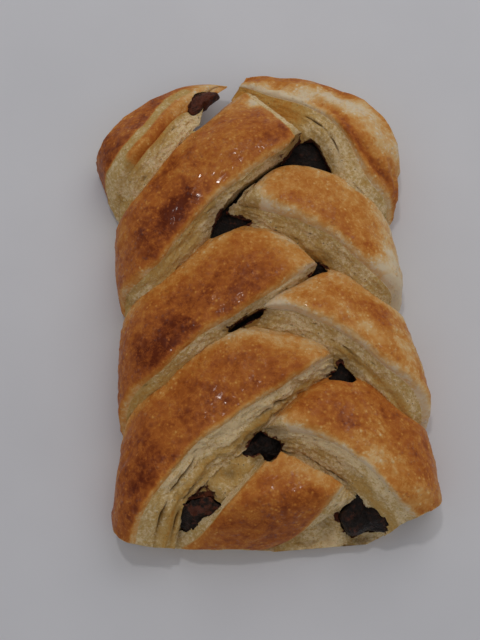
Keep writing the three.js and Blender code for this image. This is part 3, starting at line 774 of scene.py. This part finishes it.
def lumpMesh(own, grow, seed):
    outline, _ = rounded(own["outline"])
    middle = outline.mean(axis=0)
    away = outline - middle
    away *= 1 + grow / np.linalg.norm(away, axis=1, keepdims=True)
    r = np.r_[np.linspace(0.04, 1, lumpForm["rings"]), np.ones(lumpForm["sides"])][:, None, None]
    side = np.r_[np.zeros(lumpForm["rings"]), np.linspace(0, 1, lumpForm["sides"] + 1)[1:]][:, None]
    flat = middle + away * r
    at = stacked(flat[..., 0], flat[..., 1], side * 3) / lumpForm["raggedSize"]
    ragged = cloudNoise(at, seed + 1, 2)
    size = np.linalg.norm(away, axis=1, keepdims=True)
    flat = flat + lumpForm["ragged"] * (ragged * r[..., 0] ** 3)[..., None] * away / size
    base = bedHeight(beds[0], flat[..., 0], flat[..., 1])
    if "level" in own:
        base = own["level"] + own.get("slope", 0) * (flat[..., 1] - middle[1])
    place = stacked(flat[..., 0], flat[..., 1], seed)
    distance, _ = cellNoise(place / lumpForm["cellSize"], seed)
    lump = lumpForm["clots"] * cloudNoise(place / lumpForm["clotSize"], seed, 4)
    lump = lump + lumpForm["cells"] * (0.6 - distance)
    top = base + mix(own["lift"], own["edge"], r[..., 0] ** 4) + own["rough"] * lump + grow
    grid = stacked(flat[..., 0], flat[..., 1], mix(top, own["bottom"] - grow, side))
    dry = smoothStep(cloudNoise(place / lumpForm["thinSize"], seed + 2), -0.1, 0.4)
    thick = own["smear"] - lumpForm["thinner"] * dry
    return closedMesh("lump", grid, {"bake": 0.1, "cut": 1.0, "run": grid, "smear": thick})


def wellMesh(well, grow, seed):
    turn = np.linspace(0, math.pi, wellForm["rings"] + 2)[1:-1][:, None]
    spin = np.linspace(0, 2 * math.pi, wellForm["around"], endpoint=False)[None, :]
    way = stacked(np.sin(turn) * np.cos(spin), np.sin(turn) * np.sin(spin), np.cos(turn) + 0 * spin)
    grid = np.array(well["at"]) + way * (np.array(well["size"]) + grow)
    lump = wellForm["swell"] * cloudNoise(grid / wellForm["swellSize"], seed)
    lump = lump + wellForm["grain"] * softNoise(grid / wellForm["grainSize"], seed + 3)
    grid = grid + way * lump[..., None]
    return closedMesh("well", grid, {"bake": 0.1, "cut": 1.0, "run": grid, "smear": 1.0})


def fillingMesh(grow):
    meshes = [bedMesh(spread, grow, 40, 1.0)]
    meshes += [wellMesh(well, grow, 50 + number) for number, well in enumerate(wells)]
    meshes += [lumpMesh(lump, grow, 60 + number) for number, lump in enumerate(lumps)]
    return combined(meshes[0], meshes[1:], "UNION")


# Pits: the openings between the tips of the strips, down to the filling

pits = [
    {
        "outline": (
            (15.4, 43.3), (18.1, 43.7), (19.5, 41.7), (20.7, 38.3), (22.4, 33.8), (20.7, 34.6), (17.4, 36.2),
            (14.3, 36.7), (10.3, 36.5), (8.8, 36.6), (11.9, 39.3), (13.1, 41.4),
        ),
        "low": 13,
    },
    {
        "outline": (
            (-10.6, 18.9), (-9.4, 21.5), (-8.2, 23.8), (-6.8, 25.3), (-5.0, 24.9), (-1.5, 23.3), (0.6, 22.8),
            (-1.8, 22.0), (-6.4, 20.2),
        ),
        "low": 13,
    },
    {"outline": ((13.9, 6.4), (15.4, 8.1), (16.6, 10.4), (17.9, 9.8), (19.2, 7.8), (16.9, 7.7)), "low": 13},
    {
        "outline": (
            (-7.9, -6.0), (-5.7, -4.1), (-2.7, -2.5), (-0.4, -1.4), (1.5, -1.0), (1.1, -2.5), (-1.6, -3.6),
            (-3.9, -4.7), (-6.4, -6.1),
        ),
        "low": 14,
    },
    {
        "outline": (
            (16.2, -19.7), (19.1, -17.9), (19.9, -15.4), (21.2, -17.3), (23.8, -20.1), (22.4, -21.2),
            (18.9, -20.2),
        ),
        "low": 12.5,
    },
    {
        "outline": (
            (-4.8, -35.1), (-4.2, -33.7), (-1.7, -31.3), (-0.6, -32.7), (3.8, -35.0), (2.0, -37.7),
            (-0.6, -39.5), (-2.2, -36.6),
        ),
        "low": 13,
    },
]
# flare is how much wider a pit gets for each millimetre up
pitForm = {
    "flare": 0.02, "height": 10, "rings": 24, "top": 24, "ragged": 0.16, "raggedSize": 1.1,
    "shadeAndSmear": 0.8, "shadeAndSmearFrom": 0.5, "shadeAndSmearTo": 5.5,
}


def pitMesh(own, seed):
    outline, _ = rounded(own["outline"], 1)
    middle = outline.mean(axis=0)
    rise = np.r_[np.linspace(0, pitForm["height"], pitForm["rings"]), pitForm["top"]][:, None, None]
    away = (outline - middle) * (1 + pitForm["flare"] * rise)
    ragged = cloudNoise(stacked(outline[:, 0], outline[:, 1], rise[..., 0]) / pitForm["raggedSize"], seed)
    size = np.linalg.norm(away, axis=-1, keepdims=True)
    flat = middle + away + pitForm["ragged"] * ragged[..., None] * away / size
    grid = stacked(flat[..., 0], flat[..., 1], own["low"] + rise[..., 0])
    # towards its bottom a pit wall takes painted shade and some chocolate
    shadeAndSmear = pitForm["shadeAndSmear"] * (1 - smoothStep(rise[..., 0], pitForm["shadeAndSmearFrom"], pitForm["shadeAndSmearTo"]))
    return closedMesh("pit", grid, {"bake": 0.3, "cut": 1.0, "dark": shadeAndSmear, "smear": shadeAndSmear, "run": grid})


# Crevices: narrow gaps along the foot of a strip, as points with half widths

crevices = [
    {
        "line": (
            (10.2, 37.6), (6.6, 35.9), (4.1, 34.2), (0.8, 32.0), (-1.4, 30.5), (-3.4, 28.5), (-5.4, 26.8),
            (-7, 25),
        ),
        "wide": (0.7, 0.35, 0.3, 0.35, 0.45, 0.6, 0.6, 0.9), "low": 14,
    },
    {
        "line": ((13.1, 13.1), (14.6, 12.5), (15.8, 11.6), (16.7, 10.2)),
        "wide": (0.15, 0.25, 0.3, 0.5), "low": 16,
    },
]


creviceForm = {"step": 0.35, "roundings": 8, "wallPoints": 12, "floorPoints": 13, "height": 30}


def creviceMesh(own, seed):
    line, wide = np.array(own["line"], float), np.array(own["wide"], float)
    run = np.r_[0, np.cumsum(np.linalg.norm(np.diff(line, axis=0), axis=1))]
    steps = np.linspace(0, run[-1], int(run[-1] / creviceForm["step"]))
    x, y, half = (np.interp(steps, run, values) for values in (line[:, 0], line[:, 1], wide))
    for _ in range(creviceForm["roundings"]):
        x[1:-1] = (x[:-2] + 2 * x[1:-1] + x[2:]) / 4
        y[1:-1] = (y[:-2] + 2 * y[1:-1] + y[2:]) / 4
    normal = np.stack([-np.gradient(y), np.gradient(x)], axis=1)
    normal /= np.linalg.norm(normal, axis=1, keepdims=True)
    taper = np.sqrt(np.clip(1 - (2 * steps / run[-1] - 1) ** 8, 0.01, 1))
    turn = np.linspace(math.pi, 2 * math.pi, creviceForm["floorPoints"])
    high, count = creviceForm["height"], creviceForm["wallPoints"]
    side = np.r_[np.full(count, -1.0), np.cos(turn), np.full(count, 1.0)][None, :]
    rise = np.r_[np.linspace(high, 1, count), np.sin(turn), np.linspace(1, high, count)][None, :]
    z = own["low"] + rise + 0 * steps[:, None]
    teeth = 1 + 0.45 * softNoise(stacked(steps[:, None] / 0.7, z / 1.6, np.sign(side) * 5), seed)
    teeth += 0.3 * softNoise(stacked(steps[:, None] / 2.6, z / 3, np.sign(side) * 5), seed + 1)
    across = side * (half * taper)[:, None] * np.clip(teeth, 0.15, 2)
    grid = stacked(x[:, None] + across * normal[:, :1], y[:, None] + across * normal[:, 1:], z)
    # the crevice walls take painted shade
    return closedMesh("crevice", grid, {"bake": 0.15, "cut": 1.0, "dark": 0.5, "run": grid})


# Trim

trim = [
    (-46, 66), (-46, -44), (-40, -55.5), (-33, -58), (15, -63.2), (25, -62), (33, -56.5), (44, -53),
    (47, -44), (47, 66),
]
trimForm = {"below": -3, "height": 24, "rings": 50, "above": 45, "heel": 1.2, "heelHeight": 2}


def trimMesh(seed):
    outline, steps = rounded(trim, 3)
    x, y = outline.T
    normal = np.stack([np.gradient(y), -np.gradient(x)], axis=1)
    normal /= np.linalg.norm(normal, axis=1, keepdims=True)
    inward = normal * np.sign(np.sum(normal * -np.stack([x, y], axis=1)))
    levels = np.linspace(0, trimForm["height"], trimForm["rings"])
    z = np.r_[trimForm["below"], levels, trimForm["above"]][:, None]
    wave = 0.5 * softNoise(stacked(steps / 7, z / 9, 0.5), seed)
    wave = wave + 0.3 * softNoise(stacked(steps / 4, z / 0.8, 0.5), seed + 1)
    low = np.clip(1 - z / trimForm["heelHeight"], 0, 1)
    heel = trimForm["heel"] * (1 - np.sqrt(1 - low ** 2))
    shift = (wave * smoothStep(z, 0, trimForm["heelHeight"]) + heel)[..., None] * inward
    grid = stacked(x + shift[..., 0], y + shift[..., 1], z)
    return closedMesh("trim", grid, {"bake": 0.12, "cut": 1.0, "run": stacked(steps, 0, z)})


print("strips")
parts = [bedMesh(own, 0, 20 + number) for number, own in enumerate(beds)]
parts += [stripMesh(strip, number + 1) for number, strip in enumerate(strips)]
print("joining")
dough = combined(parts[0], parts[1:], "UNION")
dough = combined(dough, [trimMesh(70)], "INTERSECT")
onlyLargest(dough)
tools = [creviceMesh(own, 80 + number) for number, own in enumerate(crevices)]
tools += [pitMesh(own, 100 + number) for number, own in enumerate(pits)]
dough = combined(dough, [fillingMesh(clearance), *tools], "DIFFERENCE")
onlyLargest(dough)
fillSeams(dough)
filling = fillingMesh(0)
fillSeams(filling)
print("dough", len(dough.polygons), "filling", len(filling.polygons))


patchForm = {"warp": 1.3, "warpSize": 3.5, "above": 4}


def addPatches(made):
    co = pointsOf(made)
    at = co / patchForm["warpSize"]
    warp = patchForm["warp"] * np.stack([softNoise(at, 90), softNoise(at, 91)], axis=1)
    bake, cut = getValues(made, "bake"), getValues(made, "cut")
    for x, y, wide, tall, turn, change in patches:
        c, s = math.cos(math.radians(turn)), math.sin(math.radians(turn))
        off = co[:, :2] + warp - (x, y)
        u, v = (off[:, 0] * c + off[:, 1] * s) / wide, (off[:, 1] * c - off[:, 0] * s) / tall
        bake += change * np.exp(-(u * u + v * v)) * (cut < 0.5) * (co[:, 2] > patchForm["above"])
    setValues(made, "bake", bake)


# thin chocolate on the dough: x, y, z, radius and strength
smears = [
    (-13.0, 57.6, 11, 1.6, 0.8), (-9.7, 59.4, 11, 1.8, 0.8),
    (-20.5, -46.6, 14.4, 2.4, 0.7), (-16.2, -45.6, 14.6, 2.6, 0.7), (-12.6, -50.6, 12, 2.4, 0.8),
    (16.6, -54.5, 9, 2.0, 0.9), (19.5, -59, 7, 2.2, 0.9), (29.5, -54, 9, 2.0, 0.8),
]


def addSmears(made):
    co = pointsOf(made)
    smear = getValues(made, "smear")
    ragged = 0.6 * softNoise(co / 1.4, 95) + 0.3 * softNoise(co / 0.6, 96)
    for x, y, z, radius, strength in smears:
        far = np.linalg.norm(co - (x, y, z), axis=1) / radius + ragged
        smear = np.maximum(smear, strength * (1 - smoothStep(far, 0.6, 1.25)))
    setValues(made, "smear", smear)


# painted shade round the pits and chocolate on their rims: strength and distances of each
pitShadeAndSmear = {"dark": 0.42, "shadeFrom": 0.3, "shadeTo": 4.2, "smear": 0.75, "smearFrom": 0.1, "smearTo": 1.3}


def addPitShadeAndSmear(made):
    # painted shade darkens the dough without crust round the pits, and their rims carry some chocolate
    co = pointsOf(made)
    cut, dark, smear = (getValues(made, key) for key in ("cut", "dark", "smear"))
    far = np.full(len(co), 99.0)
    for own in pits:
        outline, _ = rounded(own["outline"], 1)
        for x, y in outline[::2]:
            far = np.minimum(far, np.hypot(co[:, 0] - x, co[:, 1] - y))
    ragged = 0.9 * softNoise(co / 2.2, 97) + 0.4 * softNoise(co / 0.8, 98)
    shade = 1 - smoothStep(far + 1.2 * ragged, pitShadeAndSmear["shadeFrom"], pitShadeAndSmear["shadeTo"])
    dark = dark + pitShadeAndSmear["dark"] * shade * np.clip(cut, 0, 1)
    rim = 1 - smoothStep(far + ragged, pitShadeAndSmear["smearFrom"], pitShadeAndSmear["smearTo"])
    smear = np.maximum(smear, pitShadeAndSmear["smear"] * rim * np.clip(cut, 0, 1))
    setValues(made, "dark", np.minimum(dark, 1))
    setValues(made, "smear", smear)


addPatches(dough)
addSmears(dough)
addPitShadeAndSmear(dough)


sharpAngle = 50  # degrees between two faces from which their edge is sharp


def finished(name, made, node):
    co = (pointsOf(made) - foldMiddle) * mm
    made.vertices.foreach_set("co", co.astype(np.float32).ravel())
    made.update()
    made.materials.clear()
    made.shade_smooth()
    made.set_sharp_from_angle(angle=math.radians(sharpAngle))
    piece = newPiece(name, made)
    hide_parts(node)
    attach(piece, "root")
    return piece


braidDough = finished("braidDough", dough, "dough")
braidFilling = finished("braidFilling", filling, "filling")


# Shader groups

def link(tree, source, target):
    tree.links.new(source, target)


def newNode(tree, kind, **settings):
    node = tree.nodes.new(kind)
    for key, value in settings.items():
        setattr(node, key, value)
    return node


def newGroup(name, inputs, outputs):
    group = bpy.data.node_groups.new(name, "ShaderNodeTree")
    for label, kind in inputs:
        group.interface.new_socket(name=label, in_out="INPUT", socket_type=kind)
    for label, kind in outputs:
        group.interface.new_socket(name=label, in_out="OUTPUT", socket_type=kind)
    return group, group.nodes.new("NodeGroupInput"), group.nodes.new("NodeGroupOutput")


def noise(tree, vector, size, detail=3.0, rough=0.55, stretch=None):
    # size is that of a feature, in the units of the vector
    if stretch:
        scaled = newNode(tree, "ShaderNodeVectorMath", operation="MULTIPLY")
        link(tree, vector, scaled.inputs[0])
        scaled.inputs[1].default_value = stretch
        vector = scaled.outputs["Vector"]
    node = newNode(tree, "ShaderNodeTexNoise")
    node.inputs["Scale"].default_value = 1 / size
    node.inputs["Detail"].default_value = detail
    node.inputs["Roughness"].default_value = rough
    link(tree, vector, node.inputs["Vector"])
    return node.outputs["Fac"]


def spots(tree, vector, size, low, high):
    # 1 at the middle of scattered spots, 0 between them
    node = newNode(tree, "ShaderNodeTexVoronoi")
    node.inputs["Scale"].default_value = 1 / size
    link(tree, vector, node.inputs["Vector"])
    return remap(tree, node.outputs["Distance"], low, high, 1.0, 0.0)


def remap(tree, value, fromLow, fromHigh, toLow, toHigh):
    node = newNode(tree, "ShaderNodeMapRange", interpolation_type="SMOOTHSTEP")
    link(tree, value, node.inputs["Value"])
    for key, number in zip(("From Min", "From Max", "To Min", "To Max"), (fromLow, fromHigh, toLow, toHigh)):
        node.inputs[key].default_value = number
    return node.outputs["Result"]


def arithmetic(tree, operation, a, b):
    node = newNode(tree, "ShaderNodeMath", operation=operation)
    for socket, value in zip(node.inputs, (a, b)):
        if isinstance(value, (int, float)):
            socket.default_value = value
        else:
            link(tree, value, socket)
    return node.outputs["Value"]


def summed(tree, base, terms):
    # base plus each value, less its middle, times its weight
    for value, middle, weight in terms:
        node = newNode(tree, "ShaderNodeMath", operation="MULTIPLY_ADD")
        link(tree, value, node.inputs[0])
        node.inputs[1].default_value = weight
        moved = arithmetic(tree, "ADD", base, -middle * weight)
        link(tree, moved, node.inputs[2])
        base = node.outputs["Value"]
    return base


def ramp(tree, value, stops):
    node = newNode(tree, "ShaderNodeValToRGB")
    elements = node.color_ramp.elements
    while len(elements) < len(stops):
        elements.new(0.5)
    for element, (place, colour) in zip(elements, stops):
        element.position = place
        element.color = (*colour, 1)
    link(tree, value, node.inputs["Fac"])
    return node.outputs["Color"]


def blended(tree, share, a, b):
    node = newNode(tree, "ShaderNodeMix", data_type="RGBA")
    link(tree, share, node.inputs["Factor"])
    for socket, value in ((node.inputs[6], a), (node.inputs[7], b)):
        if isinstance(value, tuple):
            socket.default_value = (*value, 1)
        else:
            link(tree, value, socket)
    return node.outputs[2]


browned = {
    "pale": (0.78, 0.63, 0.42), "cream": (0.73, 0.465, 0.20), "gold": (0.66, 0.31, 0.080),
    "amber": (0.56, 0.208, 0.037), "brown": (0.44, 0.125, 0.021), "dark": (0.27, 0.062, 0.012),
    "darkest": (0.135, 0.023, 0.005),
}
# shadedPore is the colour of the painted shade in pores, cracks, crevices, pits and hollows
crumb = {
    "white": (0.86, 0.66, 0.38), "beige": (0.62, 0.405, 0.15), "straw": (0.57, 0.325, 0.09),
    "gold": (0.53, 0.23, 0.042), "shadedPore": (0.13, 0.06, 0.014),
}
chocolate = {"dark": (0.010, 0.006, 0.004), "brown": (0.036, 0.015, 0.009), "red": (0.13, 0.036, 0.018)}

# sizes of what shows on the surfaces, in metres
crustSizes = {
    "broad": 0.0045, "fine": 0.0015, "crowds": 0.0035, "freckles": 0.0014, "veins": 0.0026,
    "grain": 0.00045, "glaze": 0.006, "bubbles": 0.0013,
}
crumbSizes = {"grain": 0.0008, "clouds": 0.005, "pores": 0.0011}
chocolateSizes = {"clots": 0.0017, "grain": 0.0006}
# how often the layers repeat along a strip, across it and down its cut face, for each millimetre
layering = {"layers": (0.1, 0.2, 0.6), "threads": (0.7, 0.8, 1.6)}

print("materials")

# egg-washed crust: mottled browning, from pale through gold to dark
crustGroup, crustIn, crustOut = newGroup(
    "brownedCrust", [("Browning", "NodeSocketFloat"), ("Place", "NodeSocketVector")],
    [("Colour", "NodeSocketColor"), ("Height", "NodeSocketFloat"), ("Gloss", "NodeSocketFloat")],
)
place = crustIn.outputs["Place"]
broad = noise(crustGroup, place, crustSizes["broad"], 3, 0.6)
fine = noise(crustGroup, place, crustSizes["fine"], 3, 0.5)
crowded = remap(crustGroup, noise(crustGroup, place, crustSizes["crowds"], 2, 0.5), 0.45, 0.6, 0.15, 1.0)
freckled = spots(crustGroup, place, crustSizes["freckles"], 0.05, 0.4)
freckles = arithmetic(crustGroup, "MULTIPLY", freckled, crowded)
wave = arithmetic(crustGroup, "SUBTRACT", noise(crustGroup, place, crustSizes["veins"], 3, 0.65), 0.5)
veins = remap(crustGroup, arithmetic(crustGroup, "ABSOLUTE", wave, 0), 0.0, 0.04, 1.0, 0.0)
tone = summed(crustGroup, crustIn.outputs["Browning"], [
    (broad, 0.5, 0.5), (fine, 0.5, 0.4), (freckles, 0.15, -0.24), (veins, 0.3, -0.1)])
link(crustGroup, ramp(crustGroup, tone, [
    (0.06, browned["pale"]), (0.26, browned["cream"]), (0.42, browned["gold"]), (0.56, browned["amber"]),
    (0.72, browned["brown"]), (0.87, browned["dark"]), (1.0, browned["darkest"]),
]), crustOut.inputs["Colour"])
grain = noise(crustGroup, place, crustSizes["grain"], 2, 0.5)
glazed = remap(crustGroup, noise(crustGroup, place, crustSizes["glaze"], 2, 0.5), 0.4, 0.58, 0.0, 1.0)
bubbled = spots(crustGroup, place, crustSizes["bubbles"], 0.0, 0.45)
bubbles = arithmetic(crustGroup, "MULTIPLY", bubbled, glazed)
height = summed(crustGroup, fine, [(grain, 0.5, 0.15), (freckles, 0.5, 0.3), (bubbles, 0.0, 1.1)])
link(crustGroup, height, crustOut.inputs["Height"])
shine = summed(crustGroup, arithmetic(crustGroup, "MULTIPLY", bubbles, 0.85), [(glazed, 0.0, 0.1)])
link(crustGroup, shine, crustOut.inputs["Gloss"])

# cut dough: thin layers along the strip, with a dry grain, and small pores darkened with painted shade
crumbGroup, crumbIn, crumbOut = newGroup(
    "cutDough", [("Browning", "NodeSocketFloat"), ("Run", "NodeSocketVector"), ("Place", "NodeSocketVector"),
                 ("PaintedShade", "NodeSocketFloat")],
    [("Colour", "NodeSocketColor"), ("Height", "NodeSocketFloat")],
)
run, place = crumbIn.outputs["Run"], crumbIn.outputs["Place"]
layers = noise(crumbGroup, run, 1.0, 2, 0.5, layering["layers"])
threads = noise(crumbGroup, run, 1.0, 2, 0.6, layering["threads"])
grain = noise(crumbGroup, place, crumbSizes["grain"], 4, 0.7)
cloud = noise(crumbGroup, place, crumbSizes["clouds"], 2, 0.5)
# the crumb is paler where the grain's bump stands high: partly its own pale crumbs, partly a painted
# highlight on their tops
tone = summed(crumbGroup, crumbIn.outputs["Browning"], [
    (layers, 0.5, 0.15), (threads, 0.5, 0.2), (grain, 0.5, -1.3), (cloud, 0.5, 0.7)])
colour = ramp(crumbGroup, tone, [
    (0.0, crumb["white"]), (0.25, crumb["beige"]), (0.5, crumb["straw"]), (0.85, crumb["gold"])])
# pores and the painted shade input mix in the shaded-pore colour: painted shade
pored = spots(crumbGroup, place, crumbSizes["pores"], 0.1, 0.3)
pores = arithmetic(crumbGroup, "MULTIPLY", pored, remap(crumbGroup, grain, 0.5, 0.62, 0, 0.8))
paintedShade = arithmetic(crumbGroup, "MAXIMUM", pores, crumbIn.outputs["PaintedShade"])
link(crumbGroup, blended(crumbGroup, paintedShade, colour, crumb["shadedPore"]), crumbOut.inputs["Colour"])
height = summed(crumbGroup, threads, [(grain, 0.5, 3.0), (pores, 0.0, -0.8)])
link(crumbGroup, height, crumbOut.inputs["Height"])

# chocolate: nearly black where thick, reddish brown where thin or dry
chocolateGroup, chocolateIn, chocolateOut = newGroup(
    "chocolateSpread", [("Place", "NodeSocketVector"), ("Thin", "NodeSocketFloat")],
    [("Colour", "NodeSocketColor"), ("Height", "NodeSocketFloat"), ("Roughness", "NodeSocketFloat")],
)
place = chocolateIn.outputs["Place"]
clots = noise(chocolateGroup, place, chocolateSizes["clots"], 4, 0.65)
grain = noise(chocolateGroup, place, chocolateSizes["grain"], 3, 0.65)
tone = summed(chocolateGroup, chocolateIn.outputs["Thin"], [(clots, 0.5, 2.2), (grain, 0.5, 1.0)])
colour = ramp(chocolateGroup, tone, [
    (0.15, chocolate["dark"]), (0.5, chocolate["brown"]), (0.9, chocolate["red"])])
link(chocolateGroup, colour, chocolateOut.inputs["Colour"])
link(chocolateGroup, summed(chocolateGroup, clots, [(grain, 0.5, 1.0)]), chocolateOut.inputs["Height"])
link(chocolateGroup, remap(chocolateGroup, grain, 0.4, 0.6, 0.35, 0.6), chocolateOut.inputs["Roughness"])


# Materials

def newMaterial(name):
    material = bpy.data.materials.new(name)
    material.use_nodes = True
    return material, material.node_tree, material.node_tree.nodes["Principled BSDF"]


def placed(tree, group):
    return newNode(tree, "ShaderNodeGroup", node_tree=group)


def attribute(tree, key, output="Fac"):
    return newNode(tree, "ShaderNodeAttribute", attribute_name=key).outputs[output]


def bumped(tree, shader, height, distance, strength):
    node = newNode(tree, "ShaderNodeBump")
    node.inputs["Distance"].default_value = distance
    node.inputs["Strength"].default_value = strength
    link(tree, height, node.inputs["Height"])
    link(tree, node.outputs["Normal"], shader.inputs["Normal"])


doughFinish = {
    "bumpDepth": 0.00022, "bumpStrength": 0.8, "crustRoughness": 0.45, "cutRoughness": 0.85, "specular": 0.08,
    "coatRoughness": 0.1, "subsurface": 0.12, "subsurfaceRadius": (1.0, 0.6, 0.3), "subsurfaceScale": 0.0015,
    "smearThinness": 0.75, "smearEdge": 0.0009, "cutFade": (0.35, 0.65), "smearFade": (0.42, 0.58),
}
doughMaterial, tree, shader = newMaterial("bakedDough")
place = newNode(tree, "ShaderNodeTexCoord").outputs["Object"]
bake, cut, smear = attribute(tree, "bake"), attribute(tree, "cut"), attribute(tree, "smear")
crustNode, crumbNode = placed(tree, crustGroup), placed(tree, crumbGroup)
spreadNode = placed(tree, chocolateGroup)
for node in (crustNode, crumbNode, spreadNode):
    link(tree, place, node.inputs["Place"])
link(tree, bake, crustNode.inputs["Browning"])
link(tree, bake, crumbNode.inputs["Browning"])
link(tree, attribute(tree, "run", "Vector"), crumbNode.inputs["Run"])
# the dark attribute carries painted shade into the cut dough
link(tree, attribute(tree, "dark"), crumbNode.inputs["PaintedShade"])
spreadNode.inputs["Thin"].default_value = doughFinish["smearThinness"]
isCut = remap(tree, cut, *doughFinish["cutFade"], 0, 1)
ragged = summed(tree, smear, [(noise(tree, place, doughFinish["smearEdge"], 3, 0.6), 0.5, 0.7)])
isSmear = remap(tree, ragged, *doughFinish["smearFade"], 0, 1)
colour = blended(tree, isCut, crustNode.outputs["Colour"], crumbNode.outputs["Colour"])
link(tree, blended(tree, isSmear, colour, spreadNode.outputs["Colour"]), shader.inputs["Base Color"])
crustShare = arithmetic(tree, "SUBTRACT", 1.0, isCut)
link(tree, arithmetic(tree, "MULTIPLY", crustNode.outputs["Gloss"], crustShare), shader.inputs["Coat Weight"])
roughness = remap(tree, isCut, 0, 1, doughFinish["crustRoughness"], doughFinish["cutRoughness"])
link(tree, roughness, shader.inputs["Roughness"])
height = newNode(tree, "ShaderNodeMix", data_type="FLOAT")
link(tree, isCut, height.inputs["Factor"])
link(tree, crustNode.outputs["Height"], height.inputs[2])
link(tree, crumbNode.outputs["Height"], height.inputs[3])
bumped(tree, shader, height.outputs[0], doughFinish["bumpDepth"], doughFinish["bumpStrength"])
shader.inputs["Specular IOR Level"].default_value = doughFinish["specular"]
shader.inputs["Coat Roughness"].default_value = doughFinish["coatRoughness"]
shader.inputs["Subsurface Weight"].default_value = doughFinish["subsurface"]
shader.inputs["Subsurface Radius"].default_value = doughFinish["subsurfaceRadius"]
shader.inputs["Subsurface Scale"].default_value = doughFinish["subsurfaceScale"]
braidDough.data.materials.append(doughMaterial)

fillingFinish = {"thin": 0.95, "thick": 0.15, "bumpDepth": 0.0007, "bumpStrength": 1.0, "specular": 0.25}
fillingMaterial, tree, shader = newMaterial("chocolateFilling")
place = newNode(tree, "ShaderNodeTexCoord").outputs["Object"]
spreadNode = placed(tree, chocolateGroup)
link(tree, place, spreadNode.inputs["Place"])
thin = remap(tree, attribute(tree, "smear"), 0, 1, fillingFinish["thin"], fillingFinish["thick"])
link(tree, thin, spreadNode.inputs["Thin"])
link(tree, spreadNode.outputs["Colour"], shader.inputs["Base Color"])
link(tree, spreadNode.outputs["Roughness"], shader.inputs["Roughness"])
bumped(tree, shader, spreadNode.outputs["Height"], fillingFinish["bumpDepth"], fillingFinish["bumpStrength"])
shader.inputs["Specular IOR Level"].default_value = fillingFinish["specular"]
braidFilling.data.materials.append(fillingMaterial)

# Floor, light and camera

print("floor, light and camera")
floorLook = {
    "half": 0.6, "low": (0.70, 0.695, 0.72), "high": (0.745, 0.74, 0.765), "patch": 0.05, "roughness": 0.8,
}
half = floorLook["half"]
corners = [(-half, -half, 0), (half, -half, 0), (half, half, 0), (-half, half, 0)]
floorMesh = bpy.data.meshes.new("floor")
floorMesh.from_pydata(corners, [], [(0, 1, 2, 3)])
floor = newPiece("floor", floorMesh)
floorMaterial, tree, shader = newMaterial("paleFloor")
place = newNode(tree, "ShaderNodeTexCoord").outputs["Object"]
patchy = noise(tree, place, floorLook["patch"], 3, 0.5)
colour = ramp(tree, patchy, [(0.3, floorLook["low"]), (0.7, floorLook["high"])])
link(tree, colour, shader.inputs["Base Color"])
shader.inputs["Roughness"].default_value = floorLook["roughness"]
floor.data.materials.append(floorMaterial)

view = {
    "elevation": 80, "swing": 4.5, "distance": 0.3, "target": (-4.5, -2.0, 12.0), "lens": 65, "sensor": 36,
}
cameraData = bpy.data.cameras.new("camera")
cameraData.lens, cameraData.sensor_width = view["lens"], view["sensor"]
camera = bpy.data.objects.new("camera", cameraData)
bpy.context.scene.collection.objects.link(camera)
elevation, swing = math.radians(view["elevation"]), math.radians(view["swing"])
target = (Vector(view["target"]) - Vector(foldMiddle)) * mm
cameraRight = Vector((math.cos(swing), -math.sin(swing), 0))
level = math.cos(elevation)
ahead = Vector((math.sin(swing) * level, math.cos(swing) * level, -math.sin(elevation)))
turned = Matrix((cameraRight, cameraRight.cross(ahead), -ahead)).transposed().to_4x4()
camera.matrix_world = Matrix.Translation(target - ahead * view["distance"]) @ turned
bpy.context.scene.camera = camera


lightColour = (1.0, 0.99, 0.97)
lights = [
    {"name": "key", "place": (0.2, 0.36, 0.48), "size": 0.5, "energy": 0.7},
    {"name": "glint", "place": (-0.05, 0.24, 0.64), "size": 0.045, "energy": 0.45},
]
sky = {"colour": (0.95, 0.96, 1.0, 1), "strength": 0.345}


def softLight(own):
    data = bpy.data.lights.new(own["name"], "AREA")
    data.shape, data.size, data.energy, data.color = "DISK", own["size"], own["energy"], lightColour
    light = bpy.data.objects.new(own["name"], data)
    bpy.context.scene.collection.objects.link(light)
    light.location = own["place"]
    light.rotation_euler = (-light.location).to_track_quat("-Z", "Y").to_euler()


for own in lights:
    softLight(own)
world = bpy.data.worlds.new("world")
bpy.context.scene.world = world
world.use_nodes = True
background = world.node_tree.nodes["Background"]
background.inputs["Color"].default_value = sky["colour"]
background.inputs["Strength"].default_value = sky["strength"]
bpy.context.scene.view_settings.view_transform = "Standard"
